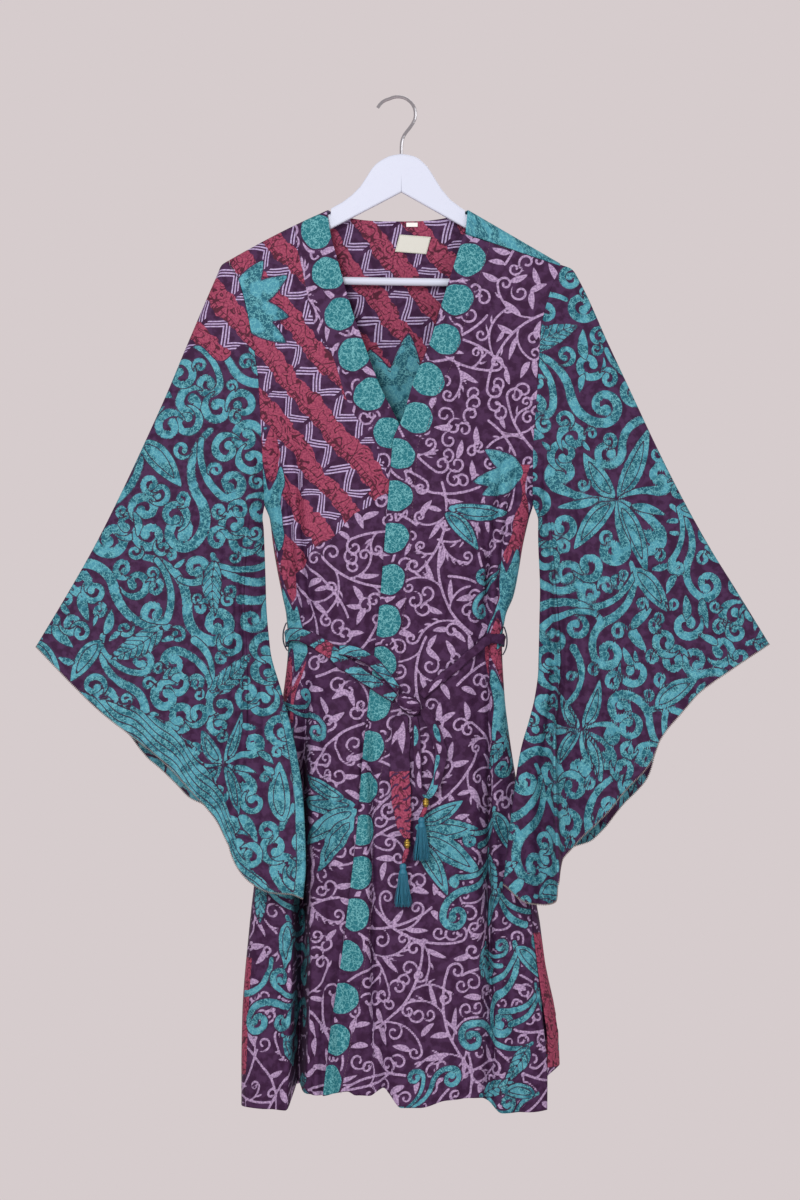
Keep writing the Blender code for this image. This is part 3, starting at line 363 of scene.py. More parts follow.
# %% How creases sink the cloth
def creases(table, x, z):
    """How far the creases and the ripple sink the surface at (x, z), in mm."""
    sunk = RIPPLE_DEPTH * sum(np.sin(a * x + b * z + c) for a, b, c in RIPPLES)
    for x0, z0, x1, z1, deep, half in table:
        along = np.array([x1 - x0, z1 - z0], float)
        length = np.linalg.norm(along)
        t = ((x - x0) * along[0] + (z - z0) * along[1]) / length**2
        off = ((x - x0) * along[1] - (z - z0) * along[0]) / length
        half, power = CREASE_WIDTH * half, 5 if deep > FLAT_FLOOR else 2
        off = off + 0.25 * half * np.sin(9 * t + x0)
        deep = CREASE_DEPTH * deep * np.sin(np.pi * np.clip(t, 0, 1)) ** 0.8
        sunk = sunk + deep * np.exp(-(np.abs(off / half) ** power))
    return sunk


# %% The body's surface
def fold_line(x):
    """Height of the shoulder fold over x. Inside the neck the line is carried on steeply upwards."""
    x = np.asarray(x, float)
    height = np.zeros_like(x)
    for side in (-1, 1):
        end_x, end_z = SHOULDER_END[side]
        t = (np.abs(x) - NECK_POINT[0]) / (end_x - NECK_POINT[0])
        line = NECK_POINT[1] + (end_z - NECK_POINT[1]) * np.where(t < 0, 5 * t, t)
        line = line + SHOULDER_CROWN[side] * np.sin(math.pi * np.clip(t, 0, 1))
        height = np.where(x * side >= 0, line, height)
    return height


def folds(table, x, z):
    """How far the folds sink the surface at (x, z)."""
    sunk = np.zeros(np.broadcast(x, z).shape)
    for x_top, x_foot, z_top, z_foot, deep_foot, deep_top, half in table:
        down = np.clip((z_top - z) / (z_top - z_foot), 0, 1)
        middle = x_top + (x_foot - x_top) * down
        reach = ease((z_top - z) / 60 + 0.5) * ease((z - z_foot) / 40 + 0.5)
        deep = deep_top + (deep_foot - deep_top) * down
        sunk = sunk + deep * reach * np.exp(-(((x - middle) / half) ** 2))
    return sunk


def body_y(x, z, face, fine=1.0):
    """Depth of the cloth's inner face at (x, z) on one side of the body: -1 in front, 1 behind."""
    x, z = np.asarray(x, float), np.asarray(z, float)
    half = np.where(x < 0, by_height(BODY, z, RIGHT), by_height(BODY, z, LEFT))
    out = np.clip(np.abs(x) / half, 0, 1)
    centre = by_height(BODY, z, FRONT if face < 0 else BACK)
    seam = by_height(ARMHOLE, z)
    roundness = 1.0 - 0.5 * ease((UNDERARM + 30 - z) / 70)
    shape = (1 - out**2.4) ** roundness
    inside = np.clip(4 * (1 - out), 0, 1)
    sunk = folds(FRONT_FOLDS if face < 0 else BACK_FOLDS, x, z) * inside
    small = creases(FRONT_CREASES if face < 0 else BACK_CREASES, x, z)
    sunk = sunk + fine * small * inside * (1 - shape * 0.3)
    depth = seam + (centre - seam) * shape - sunk
    drop = np.clip((fold_line(x) - z) / SHOULDER_ROLL, 0, 1)
    return face * depth * np.sqrt(1 - (1 - drop) ** 2)


through = body_y(0, BELT_HEIGHT, 1) - body_y(0, BELT_HEIGHT, -1)
print("from front to back at the belt", round(float(through), 1), "mm")

# %% [markdown]
# ## Panels
# A front is a grid of points: rows follow the height and columns run from the free edge to the armhole and
# the side seam. Each point also gets its place on the flat cut, which is the length of cloth across and down.
# The print is laid out on the flat cut, so it bends and narrows with the folds, as on real cloth.

# %% Grids of the panels
COARSE = 4  # rows of the fine outer face for each row of the plain inner face
FRONT_ROWS, FRONT_STEPS = 496, 140
BACK_ROWS, BACK_STEPS, OVER_ROWS = 436, 150, 16
SLEEVE_RINGS, SLEEVE_FRONT, SLEEVE_BACK = 244, 168, 120


def row_heights(count):
    """Heights of a panel's rows, closer together over the shoulder."""
    top = SHOULDER_END[-1][1]
    near = top - 14.0 * np.linspace(0, 1, 13) ** 2
    return np.concatenate([near[:-1], np.linspace(near[-1], HEM, count + 1 - 12)])


def hemmed(x, z, z_row, table):
    """Heights with the hem line's waves, which start above the hem."""
    return z + smooth(x, *np.array(table, float).T) * ease((HEM_BLEND[0] - z_row) / HEM_BLEND[1])


def flat_across(grid, start):
    """Length of cloth along each row from its first point, signed the way x runs, beginning at start."""
    step = np.hypot(np.diff(grid[..., 0], axis=1), np.diff(grid[..., 1], axis=1))
    way = np.sign(grid[-1, -1, 0] - grid[-1, 0, 0])
    return start + way * sums(step, 1)


def front_panel(side):
    """Inner points of one front and their places on the flat cut."""
    edge = LEFT_EDGE if side > 0 else RIGHT_EDGE
    own = LEFT if side > 0 else RIGHT
    z_row = row_heights(FRONT_ROWS)[:, None]
    top = z_row[0, 0]
    share = np.linspace(0, 1, FRONT_STEPS + 1)[None, :]
    fade = ease((z_row - LEVEL) / (top - LEVEL))
    forward = (side > 0) * ease((z_row - top + 160) / 160)
    x_in = by_height(edge, z_row + (NECK_POINT[1] - top) * fade - FORWARD_SEAM[0] * forward)
    half = by_height(BODY, z_row, own)
    seam = np.radians(by_height(SIDE_SEAM, z_row, own))
    x = x_in + (side * half * np.sin(seam) - x_in) * share
    across = (x - x[:, :1]) / (x[:, -1:] - x[:, :1])
    shoulder = side * (NECK_POINT[0] + (SHOULDER_END[side][0] - NECK_POINT[0]) * across)
    drop = FORWARD_SEAM[0] + (FORWARD_SEAM[1] - FORWARD_SEAM[0]) * across
    z = z_row + (fold_line(shoulder) - top) * fade - (drop + 2 * SEAM) * forward
    z = hemmed(x, z, z_row, FRONT_HEM)
    y = body_y(x, z, -1)
    if side < 0:
        overlap = ease((x - by_height(LEFT_EDGE, z) + 26) / 24)
        deepest = np.max([body_y(x + reach, z, -1) for reach in (-9, -6, -3, 0, 3, 6, 9)], axis=0)
        y = y + (deepest + UNDERLAY - y) * overlap
    y[:, -1] = np.minimum(y[:, -1], -SEAM / 2)
    grid = stack(x, y, z)
    return grid, flat_across(grid, x_in), -z


# %% The grid of the back
def back_panel():
    """Inner points of the back, which wraps to a forward seam at its lower left, and their flat places."""
    z_row = row_heights(BACK_ROWS)[:, None]
    top = z_row[0, 0]
    share = np.linspace(-1, 1, BACK_STEPS + 1)
    neck = [int(np.argmin(np.abs(share - side * NECK_POINT[0] / SHOULDER_END[side][0]))) for side in (-1, 1)]
    for j, side in zip(neck, (-1, 1)):
        share[j] = side * NECK_POINT[0] / SHOULDER_END[side][0]
        share[j - side] = side * (NECK_POINT[0] - NECK_TURN) / SHOULDER_END[side][0]
    side = np.where(share < 0, -1, 1)
    left = share >= 0
    end = np.where(left, SHOULDER_END[1][0], SHOULDER_END[-1][0])
    half = np.where(left, by_height(BODY, z_row, LEFT), by_height(BODY, z_row, RIGHT))
    half = half + (end - half) * ease((z_row - top + 12) / 12)
    seam = np.where(left, by_height(SIDE_SEAM, z_row, LEFT), 90.0)
    path = np.abs(share) * half * (2 - np.sin(np.radians(seam)))
    x = side * np.where(path > half, half - np.abs(half - path), path)
    top_x = end * share
    neck_z = NECK_POINT[1] - NECK_DIP * (1 - np.abs(top_x / NECK_POINT[0]) ** 3)
    top_z = np.where(np.abs(top_x) < NECK_POINT[0], neck_z, fold_line(top_x))
    z = hemmed(x, z_row + (top_z - top) * ease((z_row - LEVEL) / (top - LEVEL)), z_row, BACK_HEM)
    y = np.where(path <= half, body_y(x, z, 1), body_y(x, z, -1))
    y[:, 0] = np.maximum(y[:, 0], SEAM / 2)
    wrapped = path[:, -1] > half[:, -1]
    y[~wrapped, -1] = np.maximum(y[~wrapped, -1], SEAM / 2)
    x[wrapped, -1] += 2 * SEAM
    grid = stack(x, y, z)
    lifted = np.repeat(grid[:1], OVER_ROWS, axis=0)
    for k in range(OVER_ROWS):
        t = (OVER_ROWS - k) / OVER_ROWS
        across = np.clip((grid[0, :, 0] - NECK_POINT[0]) / (SHOULDER_END[1][0] - NECK_POINT[0]), 0, 1)
        drop = FORWARD_SEAM[0] + (FORWARD_SEAM[1] - FORWARD_SEAM[0]) * across
        lifted[k, :, 0] = grid[0, :, 0] - 3.0 * t * (1 - across)
        lifted[k, :, 2] = grid[0, :, 2] - drop * t**1.6
        lifted[k, :, 1] = body_y(lifted[k, :, 0], lifted[k, :, 2], -1)
    grid = np.concatenate([lifted, grid])
    cells = np.ones((len(grid) // COARSE, BACK_STEPS), bool)
    cells[: OVER_ROWS // COARSE, : neck[1]] = False
    middle = BACK_STEPS // 2
    across = flat_across(grid, 0)
    across = across - across[:, middle : middle + 1]
    down = -grid[..., 2]
    down[:OVER_ROWS] = 2 * down[OVER_ROWS] - down[:OVER_ROWS]
    return grid, cells, across, down


# %% [markdown]
# ## Sleeves
# A bell sleeve is a tube that starts at the armhole and opens to a long slanting mouth. Its front layer is a
# patch between four curves: the armhole, the top edge, the inner edge and the mouth. The back layer follows
# it, hangs a little lower and closes the tube. Folds run from the armhole to the mouth.

# %% Lines of the sleeves
RIGHT_SLEEVE_TOP = (
    (-202, 0, -195), (-211, 0, -201), (-216, 0, -212), (-252, -1, -296), (-277, -2, -356), (-304, -3, -416),
    (-332, -4, -476), (-362, -5, -536), (-396, -6, -596), (-433, -8, -658),
)
RIGHT_SLEEVE_INNER = (
    (-162, 0, -484), (-157, -3, -520), (-157, -12, -598), (-153, -26, -661), (-138, -42, -717),
    (-121, -55, -787), (-113, -64, -844), (-110, -72, -917), (-113, -75, -955),
)
RIGHT_SLEEVE_MOUTH = (
    (-433, -8, -658), (-401, -10, -691), (-358, -14, -733), (-314, -20, -767), (-280, -30, -794),
    (-246, -36, -828), (-217, -44, -862), (-204, -58, -885), (-192, -50, -915), (-172, -64, -938),
    (-150, -72, -948), (-126, -68, -950), (-113, -75, -955),
)
LEFT_SLEEVE_TOP = (
    (194, 0, -199), (207, 0, -204), (214, 0, -214), (252, -1, -296), (280, -2, -356), (308, -3, -416),
    (338, -4, -476), (371, -5, -536), (408, -6, -596), (444, -8, -655),
)
LEFT_SLEEVE_INNER = (
    (163, 0, -484), (164, -4, -520), (169, -14, -600), (168, -30, -686), (164, -38, -718), (157, -45, -746),
    (148, -54, -776), (142, -61, -806), (131, -73, -888), (125, -78, -938),
)
LEFT_SLEEVE_MOUTH = (
    (444, -8, -655), (412, -10, -676), (385, -16, -694), (358, -20, -714), (337, -30, -737), (314, -30, -765),
    (299, -40, -797), (267, -40, -831), (244, -52, -858), (209, -56, -893), (193, -64, -912),
    (189, -72, -938), (188, -70, -956), (174, -60, -963), (153, -74, -960), (125, -78, -938),
)
SLEEVE_LINES = {
    -1: (RIGHT_SLEEVE_TOP, RIGHT_SLEEVE_INNER, RIGHT_SLEEVE_MOUTH),
    1: (LEFT_SLEEVE_TOP, LEFT_SLEEVE_INNER, LEFT_SLEEVE_MOUTH),
}

# %% Folds and grid of a sleeve
SLEEVE_DEPTH = 15.0
SLEEVE_FOLDS = (  # place between the top and the inner edge, depth, half width
    (0.22, 5, 0.06), (0.42, 9, 0.05), (0.56, -7, 0.05), (0.68, 10, 0.045), (0.80, -8, 0.04), (0.90, 7, 0.035),
)
# Small creases down the sleeve: where they lie at top and mouth, depth, half width, where they start
SLEEVE_CREASES = (
    (0.10, 0.08, 1.2, 0.020, 0.15), (0.16, 0.17, 1.6, 0.018, 0.30), (0.30, 0.33, 2.0, 0.020, 0.10),
    (0.36, 0.37, 1.4, 0.014, 0.45), (0.48, 0.50, 2.2, 0.018, 0.05), (0.62, 0.61, 2.0, 0.014, 0.20),
    (0.74, 0.74, 2.2, 0.014, 0.10), (0.86, 0.86, 1.8, 0.012, 0.25), (0.95, 0.94, 1.2, 0.010, 0.30),
)
RING_CROWD = 1.4  # over 1 the rings lie closer near the armhole
SLEEVE_STAND_OFF = 8.0
# How far the back layer hangs below the front one, and from where to where
PEEK = {-1: (14.0, 0.30, 0.62), 1: (17.0, 0.34, 0.72)}


def sleeve(side, borders):
    """Inner points of one sleeve, ring by ring from the armhole, and their places on the flat cut."""
    top, inner, mouth = SLEEVE_LINES[side]
    q = ((np.arange(SLEEVE_RINGS + 1) / SLEEVE_RINGS) ** RING_CROWD)[:, None]
    top_line, inner_line = (resample(line, SLEEVE_RINGS + 1, RING_CROWD) for line in (top, inner))
    mouth_line = resample(mouth, 401)
    along = np.linspace(0, 1, len(mouth_line))
    lower, starts, ends = PEEK[side]
    layers, flats = [], []
    for face, count, own in ((-1, SLEEVE_FRONT, 0), (1, SLEEVE_BACK, 1)):
        even = np.arange(count + 1) / count
        place = 0.45 * (1 - np.cos(np.pi * even)) / 2 + 0.55 * even
        seams = []
        for border in borders:
            border = border[border[:, 2] > UNDERARM - 1]
            run = run_of(border)
            seams.append(on_line(border, run, place * run[-1]))
        mouth_ring = on_line(mouth_line, along, place)
        r = place[None, :]
        q3, r3 = q[..., None], r[..., None]
        corner = (1 - q3) * (1 - r3) * top_line[0] + (1 - q3) * r3 * inner_line[0]
        corner = corner + q3 * (1 - r3) * top_line[-1] + q3 * r3 * inner_line[-1]
        layer = (1 - q3) * (seams[0] + seams[1]) / 2 + q3 * mouth_ring - corner
        layer = layer + (1 - r3) * top_line[:, None] + r3 * inner_line[:, None]
        pleat = np.zeros_like(q * r)
        for at, deep, half in SLEEVE_FOLDS:
            pleat = pleat + deep * np.exp(-(((r - at) / half) ** 2))
        small = 0.5 * np.sin(23 * r + 9 * q) * np.sin(7 * q + 3) * ease(q * 3)
        for high, low, deep, half, start in SLEEVE_CREASES:
            at = high + (low - high) * q + 0.006 * np.sin(11 * q + 40 * high)
            trough = np.exp(-(((r - at) / half) ** 2))
            small = small + 1.5 * deep * ease((q - start) / 0.25) * (0.6 + 0.4 * q) * trough
        layer[..., 1] += pleat * ease(q * 1.15) + small * np.clip(12 * r * (1 - r), 0, 1)
        bulge = SLEEVE_DEPTH * (1 - np.abs(2 * r - 1) ** 2.6) ** 0.5
        seam_depth = (seams[1][:, 1] - seams[0][:, 1]) / 2
        half = seam_depth + (bulge - seam_depth) * ease(q * 2.2)
        layer[..., 0] += side * SLEEVE_STAND_OFF * ease(q * 18) * (1 - q) ** 4 * ease((r - 0.2) / 0.5)
        if face > 0:
            hangs = ease((r - starts) / 0.1) * ease((ends - r) / 0.1)
            layer[..., 2] -= lower * ease((q - 0.7) / 0.3) * hangs
        inset = half.copy()
        inset[:, 0] = inset[:, -1] = 0
        layer[..., 1] += face * inset
        layer[0] = seams[own]
        layer[0, :, 0] += side * (SEAM + 0.5 + 0.9 * ease((place - 0.6) / 0.35))
        layer[0, 0, 1] = 0
        layer[0, -1] = (seams[0][-1] + seams[1][-1]) / 2 + np.array([side * (2 * SEAM + 1.4), 0, -SEAM])
        step = np.diff(layer, axis=1)
        way = step[..., [0, 2]]
        seen = np.linalg.norm(way, axis=2)
        spare = sums(np.linalg.norm(step, axis=2) - seen, 1)  # cloth that the folds take up
        spare = spare - spare[:, count // 2 : count // 2 + 1]
        chord = layer[:, -1, [0, 2]] - layer[:, 0, [0, 2]]
        chord = chord / np.linalg.norm(chord, axis=1)[:, None]
        flat = layer[..., [0, 2]] + chord[:, None] * spare[..., None]
        if face > 0:  # the back half is cut as the front half turned over about the top line
            down = flats[0][-1, 0] - flats[0][0, 0]
            beside = np.array([down[1], -down[0]]) / np.linalg.norm(down)
            off = flat - flat[:, :1]
            flat = flats[0][:, :1] + off - 2 * (off @ beside)[..., None] * beside
        layers.append(layer)
        flats.append(flat)
    grid = np.concatenate([layers[0], layers[1][:, ::-1][:, 1:-1]], axis=1)
    flat = np.concatenate([flats[0], flats[1][:, ::-1][:, 1:-1]], axis=1)
    return grid, flat[..., 0], -flat[..., 1]


print(SLEEVE_RINGS, "rings,", len(SLEEVE_FOLDS), "folds,", len(SLEEVE_CREASES), "small creases a sleeve")

# %% [markdown]
# ## Making a mesh
# Every cloth piece is a thin closed wall. Its outer face is fine enough to carry the print's edges, and its
# inner face keeps every column but only one row in four, because the folds run down the cloth and it bends
# little along them. Each point stores its place on the flat cut and how deep it lies inside each colour of
# the print.


# %% Meshes with a cut and a print
OUTSIDE = -40.0  # the depth of a point far from any motif, in mm


def make(name, points, faces, cut, fields=None):
    """An object from points and places on the flat cut, in mm, with a value per point for each field."""
    corners = np.concatenate([np.asarray(face) for face in faces])
    used = np.unique(corners)
    place = np.full(len(points), -1)
    place[used] = np.arange(len(used))
    ends = np.cumsum([len(face) for face in faces])
    lists = [part.tolist() for part in np.split(place[corners], ends[:-1])]
    data = bpy.data.meshes.new(name)
    data.from_pydata((points[used] * MM).tolist(), [], lists)
    layer = data.uv_layers.new(name="cut")
    corner = np.zeros(len(data.loops), int)
    data.loops.foreach_get("vertex_index", corner)
    layer.data.foreach_set("uv", (cut[used][corner] * MM).astype(np.float32).ravel())
    for ink, values in (fields or {}).items():
        kept = data.attributes.new(ink, "FLOAT", "POINT")
        kept.data.foreach_set("value", np.ravel(values)[used].astype(np.float32))
    data.shade_smooth()
    piece = bpy.data.objects.new(name, data)
    scene.collection.objects.link(piece)
    return piece


# %% A wall with a fine and a plain face
def normals_of(grid, closed=False):
    """Unit normals at a grid's points, along cross(column step, row step)."""
    if closed:
        across = np.roll(grid, -1, axis=1) - np.roll(grid, 1, axis=1)
    else:
        across = np.gradient(grid, axis=1)
    normal = np.cross(across, np.gradient(grid, axis=0))
    return normal / np.maximum(np.linalg.norm(normal, axis=2), 1e-9)[..., None]


def shell(name, grid, outward, cut, fields=None, cells=None, closed=False, wall=CLOTH, lift=CLOTH_LIFT):
    """A wall whose outer face has all of a grid's points and whose inner face has one row in every few."""
    rows, columns = grid.shape[:2]
    every = COARSE
    blocks, spans = (rows - 1) // every, columns if closed else columns - 1
    cells = np.ones((blocks, spans), bool) if cells is None else cells
    normal = outward * normals_of(grid, closed)
    outer, inner = grid + normal * (lift + wall), (grid + normal * lift)[::every]
    first = rows * columns

    def out_at(i, j):
        return i * columns + j % columns

    def in_at(i, j):
        return first + i * columns + j % columns

    faces = []
    for there, at, way in ((np.repeat(cells, every, axis=0), out_at, outward), (cells, in_at, -outward)):
        i, j = np.nonzero(there)
        quads = np.stack([at(i, j), at(i, j + 1), at(i + 1, j + 1), at(i + 1, j)], axis=1)
        faces += (quads if way > 0 else quads[:, ::-1]).tolist()
    padded = np.pad(cells, 1)
    if closed:
        padded[:, 0], padded[:, -1] = padded[:, -2], padded[:, 1]
    rim = []
    for b, j in np.argwhere(cells):
        if not padded[b, j + 1]:
            rim.append([out_at(b * every, j + 1), out_at(b * every, j), in_at(b, j), in_at(b, j + 1)])
        if not padded[b + 2, j + 1]:
            i = (b + 1) * every
            rim.append([out_at(i, j), out_at(i, j + 1), in_at(b + 1, j + 1), in_at(b + 1, j)])
        if not padded[b + 1, j]:
            rim.append([out_at(b * every + k, j) for k in range(every + 1)] + [in_at(b + 1, j), in_at(b, j)])
        if not padded[b + 1, j + 2]:
            side = [out_at((b + 1) * every - k, j + 1) for k in range(every + 1)]
            rim.append(side + [in_at(b, j + 1), in_at(b + 1, j + 1)])
    faces += rim if outward > 0 else [face[::-1] for face in rim]

    def both(values):
        return np.concatenate([values.reshape(first, -1), values[::every].reshape(-1, values[0, 0].size)])

    points = np.concatenate([outer.reshape(-1, 3), inner.reshape(-1, 3)])
    fields = {ink: both(values)[:, 0] for ink, values in (fields or {}).items()}
    return make(name, points, faces, both(stack(*cut)), fields)


# %% A closed solid through rings
def loft(name, sections, cut=None, fields=None):
    """A closed solid through rings of the same number of points, with its two ends filled."""
    sections = np.asarray(sections, float)
    count, sides = sections.shape[:2]
    i, j = np.meshgrid(np.arange(count - 1), np.arange(sides), indexing="ij")
    i, j = i.ravel(), j.ravel()
    after = (j + 1) % sides
    quads = np.stack([i * sides + j, i * sides + after, (i + 1) * sides + after, (i + 1) * sides + j], axis=1)
    last = (count - 1) * sides
    faces = [*quads.tolist(), list(range(sides))[::-1], list(range(last, last + sides))]
    points = sections.reshape(-1, 3)
    middle = sections.mean(axis=1)
    corner, across, along = (points[quads[:, k]] for k in (0, 1, 3))
    if np.sum(np.cross(across - corner, along - corner) * (corner - middle[i])) < 0:
        faces = [face[::-1] for face in faces]
    if cut is None:
        cut = (sums(np.linalg.norm(sections[:, 1:] - sections[:, :-1], axis=2), 1), run_of(middle)[:, None])
    return make(name, points, faces, stack(*cut).reshape(-1, 2), fields)


# %% [markdown]
# ## The belt
# The belt is one strip of the robe's crepe, folded and pressed into a flat tube. It goes round the back, is
# tied in front with one bow loop, and its ends are gathered into gilt beads. Its stretches are bands along
# smooth lines that keep their distance from the cloth, with wrinkles that run slantwise across them.

# %% A band along a line
BELT_THICK = 3.2
BELT_STEP = 2.0  # between rings
BELT_SIDES = 28


def ribbon(rows, thick=BELT_THICK, wrinkle=0.3, phase=0.0):
    """Rings of a flat band along a smooth line. Rows hold x, y, z, width, roll and where its face looks."""
    rows = np.array(rows, float)
    rows[:, 5] = np.degrees(np.unwrap(np.radians(rows[:, 5])))
    rows = resample(rows, max(8, int(run_of(rows[:, :3])[-1] / BELT_STEP)))
    centre, width, roll, looks = rows[:, :3], rows[:, 3], np.radians(rows[:, 4]), np.radians(rows[:, 5])
    tangent = np.gradient(centre, axis=0)
    tangent /= np.linalg.norm(tangent, axis=1)[:, None]
    out = stack(np.sin(looks), -np.cos(looks), 0.0)
    wide = np.cross(tangent, out)
    wide /= np.linalg.norm(wide, axis=1)[:, None]
    out = np.cross(wide, tangent)
    cos, sin = np.cos(roll)[:, None], np.sin(roll)[:, None]
    wide, out = wide * cos + out * sin, out * cos - wide * sin
    angle = (2 * math.pi * (np.arange(BELT_SIDES) + 0.5) / BELT_SIDES)[None, :]
    across = np.sign(np.cos(angle)) * np.abs(np.cos(angle)) ** 0.6
    along = run_of(centre)[:, None]
    edge = 1 - 0.05 * (1 + np.sin(0.21 * along + 2 * across + phase)) * np.abs(across)
    dent = wrinkle * (1 + np.sin(0.33 * along + 3.1 * across + phase + 1.3 * np.sin(0.09 * along)))
    dent = dent + 0.45 * np.exp(-(((across - 0.35 * np.sin(0.035 * along + phase)) / 0.16) ** 2))
    high = np.sin(angle) * np.maximum(thick / 2 - dent * np.abs(np.sin(angle)), 0.25)
    rings = centre[:, None] + wide[:, None] * (across * edge * width[:, None] / 2)[..., None]
    rings = rings + out[:, None] * high[..., None]
    return rings, (across * width[:, None] / 2 + 0 * along, along + 0 * across)


# %% Points on the body for the belt
def round_body(angle, z, off, reach=9.0):
    """A point off the body's surface at an angle from the middle of the front, and where its face looks."""
    angle = math.radians(angle)
    face = -1 if math.cos(angle) > 0 else 1
    half = float(by_height(BODY, BELT_HEIGHT, LEFT if math.sin(angle) > 0 else RIGHT))
    spots = []
    for step in (-1, 0, 1):
        x = half * math.sin(angle + 0.03 * step)
        spots.append((x, face * max(abs(float(body_y(x, z + reach * k, face, 0))) for k in (-1, 0, 1))))
    along = np.array(spots[2]) - np.array(spots[0])
    out = np.array([-along[1], along[0]]) / np.linalg.norm(along)
    if out @ np.array([math.sin(angle), -math.cos(angle)]) < 0:
        out = -out
    x, y = np.array(spots[1]) + out * off
    return x, y, math.degrees(math.atan2(out[0], -out[1]))


def wound(rows):
    """Belt rows given as angle round the body, z, distance off the cloth, width and roll."""
    placed = []
    for angle, z, off, width, roll in rows:
        x, y, looks = round_body(angle, z, off)
        placed.append((x, y, z, width, roll, looks))
    return placed


def front_at(x, z, out, reach=9.0):
    """A point that lies a stated distance in front of the left front's surface."""
    near = [float(body_y(x + dx, z, -1, 0)) for dx in (-reach, 0.0, reach)]
    return (x, min(near) - out, z)


def laid(rows):
    """Belt rows given as x, z, distance off the cloth, width and roll, set on the front's surface."""
    return [(*front_at(x, z, out), width, roll, 0.0) for x, z, out, width, roll in rows]


# %% The belt's stretches
OFF = BELT_THICK / 2 + SEAM + 1.7
BELT_ROWS = {
    "belt_back": (wound([(angle, BELT_HEIGHT, OFF, 17, 0) for angle in range(92, 269, 11)]), BELT_THICK),
    "belt_front_right": (
        wound([(-87, -647, OFF + 0.4, 16, 0), (-78, -644, OFF + 0.8, 16, 0)])
        + laid([(-118, -643, 6.0, 17, 10), (-104, -649, 5.0, 18, -8), (-86, -659, 4.0, 18, 6),
                (-66, -676, 4.0, 18, 0), (-40, -694, 4.0, 17, 8), (-16, -710, 5.0, 15, 0),
                (-4, -719, 6.0, 12, 0)]),
        BELT_THICK,
    ),
    "belt_front_left": (
        wound([(87, -651, OFF + 0.4, 13, 0), (78, -649, OFF + 0.8, 13, 0)])
        + laid([(112, -648, 4.6, 12, 15), (92, -662, 3.4, 11, 0), (70, -681, 3.2, 11, 10),
                (46, -700, 3.8, 11, 0), (28, -716, 6.4, 10, 0)]),
        BELT_THICK,
    ),
    "belt_twist": (
        laid([(-70, -661, 7.6, 13, 0), (-52, -664, 8.6, 16, 25), (-30, -676, 9.0, 15, -20),
              (-14, -692, 9.6, 12, 10), (1, -709, 10.4, 9, 0)]),
        4.0,
    ),
    "belt_bow_loop": (
        laid([(30, -731, 7.0, 11, 0), (41, -752, 5.9, 15, 20), (51, -785, 4.7, 15, 0),
              (47, -812, 5.5, 13, -15), (34, -835, 12.6, 10, 0), (25, -826, 10.4, 9, 0),
              (23, -790, 4.7, 10, 12), (22, -760, 5.2, 9, 0), (19, -741, 6.0, 8, 0)]),
        2.6,
    ),
    "belt_end_long": (
        laid([(4, -740, 5.6, 16, 0), (3, -765, 4.4, 24, 8), (2, -800, 4.2, 25, -8), (4, -840, 6.0, 24, 6),
              (7, -868, 9.0, 18, 0), (11, -885.4, 11.8, 7, 0)]),
        2.6,
    ),
}

print(len(BELT_ROWS), "stretches of the belt")


# %% The knot
def knot_rings():
    """Rings of the knot, with three turns of cloth wound round it and their creases."""
    x, y, z = front_at(13, -726, 9.3)
    t = np.linspace(-1, 1, 61)[:, None]
    a = around(72)
    size = np.sqrt(np.maximum(1 - (0.97 * t) ** 2, 0.0))
    crease = 1 - 0.13 * np.cos(3 * a + 2 * t)
    wraps = 0.10 * np.abs(np.sin(2.3 * math.pi * (t + 0.25 * np.sin(a + 0.6)))) ** 0.6 - 0.10
    crease = crease + wraps + 0.02 * np.sin(9 * a + 14 * t)
    rings = stack(x + 14 * t, y + 7.5 * size * crease * np.cos(a), z - 3 * t + 12 * size * crease * np.sin(a))
    return rings, (12 * a + 0 * t, 14 * t + 0 * a)


# %% [markdown]
# ## Beads and tassels
# Each belt end is drawn through a turned gilt bead with ribs, comes out below it as a short rolled neck of
# red crepe, and is bound into the head of a thick tassel of teal thread. The threads hang side by side and
# spread a little. A hundred or so of them in each tassel read as thread and not as a solid block.

# %% Bead, neck and tassel shapes
BEAD_RADIUS = 4.4
BEAD_HEIGHT = 10.5
BEAD_END = 62.0
BEAD_RIBS = 4.2
TASSEL_LENGTH = 50.0
TASSEL_HEAD = ((0, 1.6), (1.5, 3.4), (4.5, 3.9), (7.0, 3.3), (8.5, 4.0), (12.0, 5.2))
TASSEL_THREADS = 112
THREAD_RADIUS = 0.42
# The belt's ends: x, top, length of the neck, x of its tip, distance off the front
ENDS = {"long": (11, -886, 18, 6, 12.0), "short": (33, -837.4, 12, 28, 11.3)}


def bead(name, x, y, top):
    """A turned barrel with ribs round it, as rings from the top down."""
    half = BEAD_HEIGHT / 2
    barrel = np.radians(np.linspace(BEAD_END, -BEAD_END, 49))[:, None]
    rise = half / math.sin(barrel[0, 0])
    a = around(40)
    rib = 1 - 0.16 * np.abs(np.cos(BEAD_RIBS * barrel)) ** 3
    radius = BEAD_RADIUS * np.cos(barrel) * rib
    rings = stack(x + radius * np.cos(a), y + radius * np.sin(a), top - half + rise * np.sin(barrel))
    return loft(name, rings)


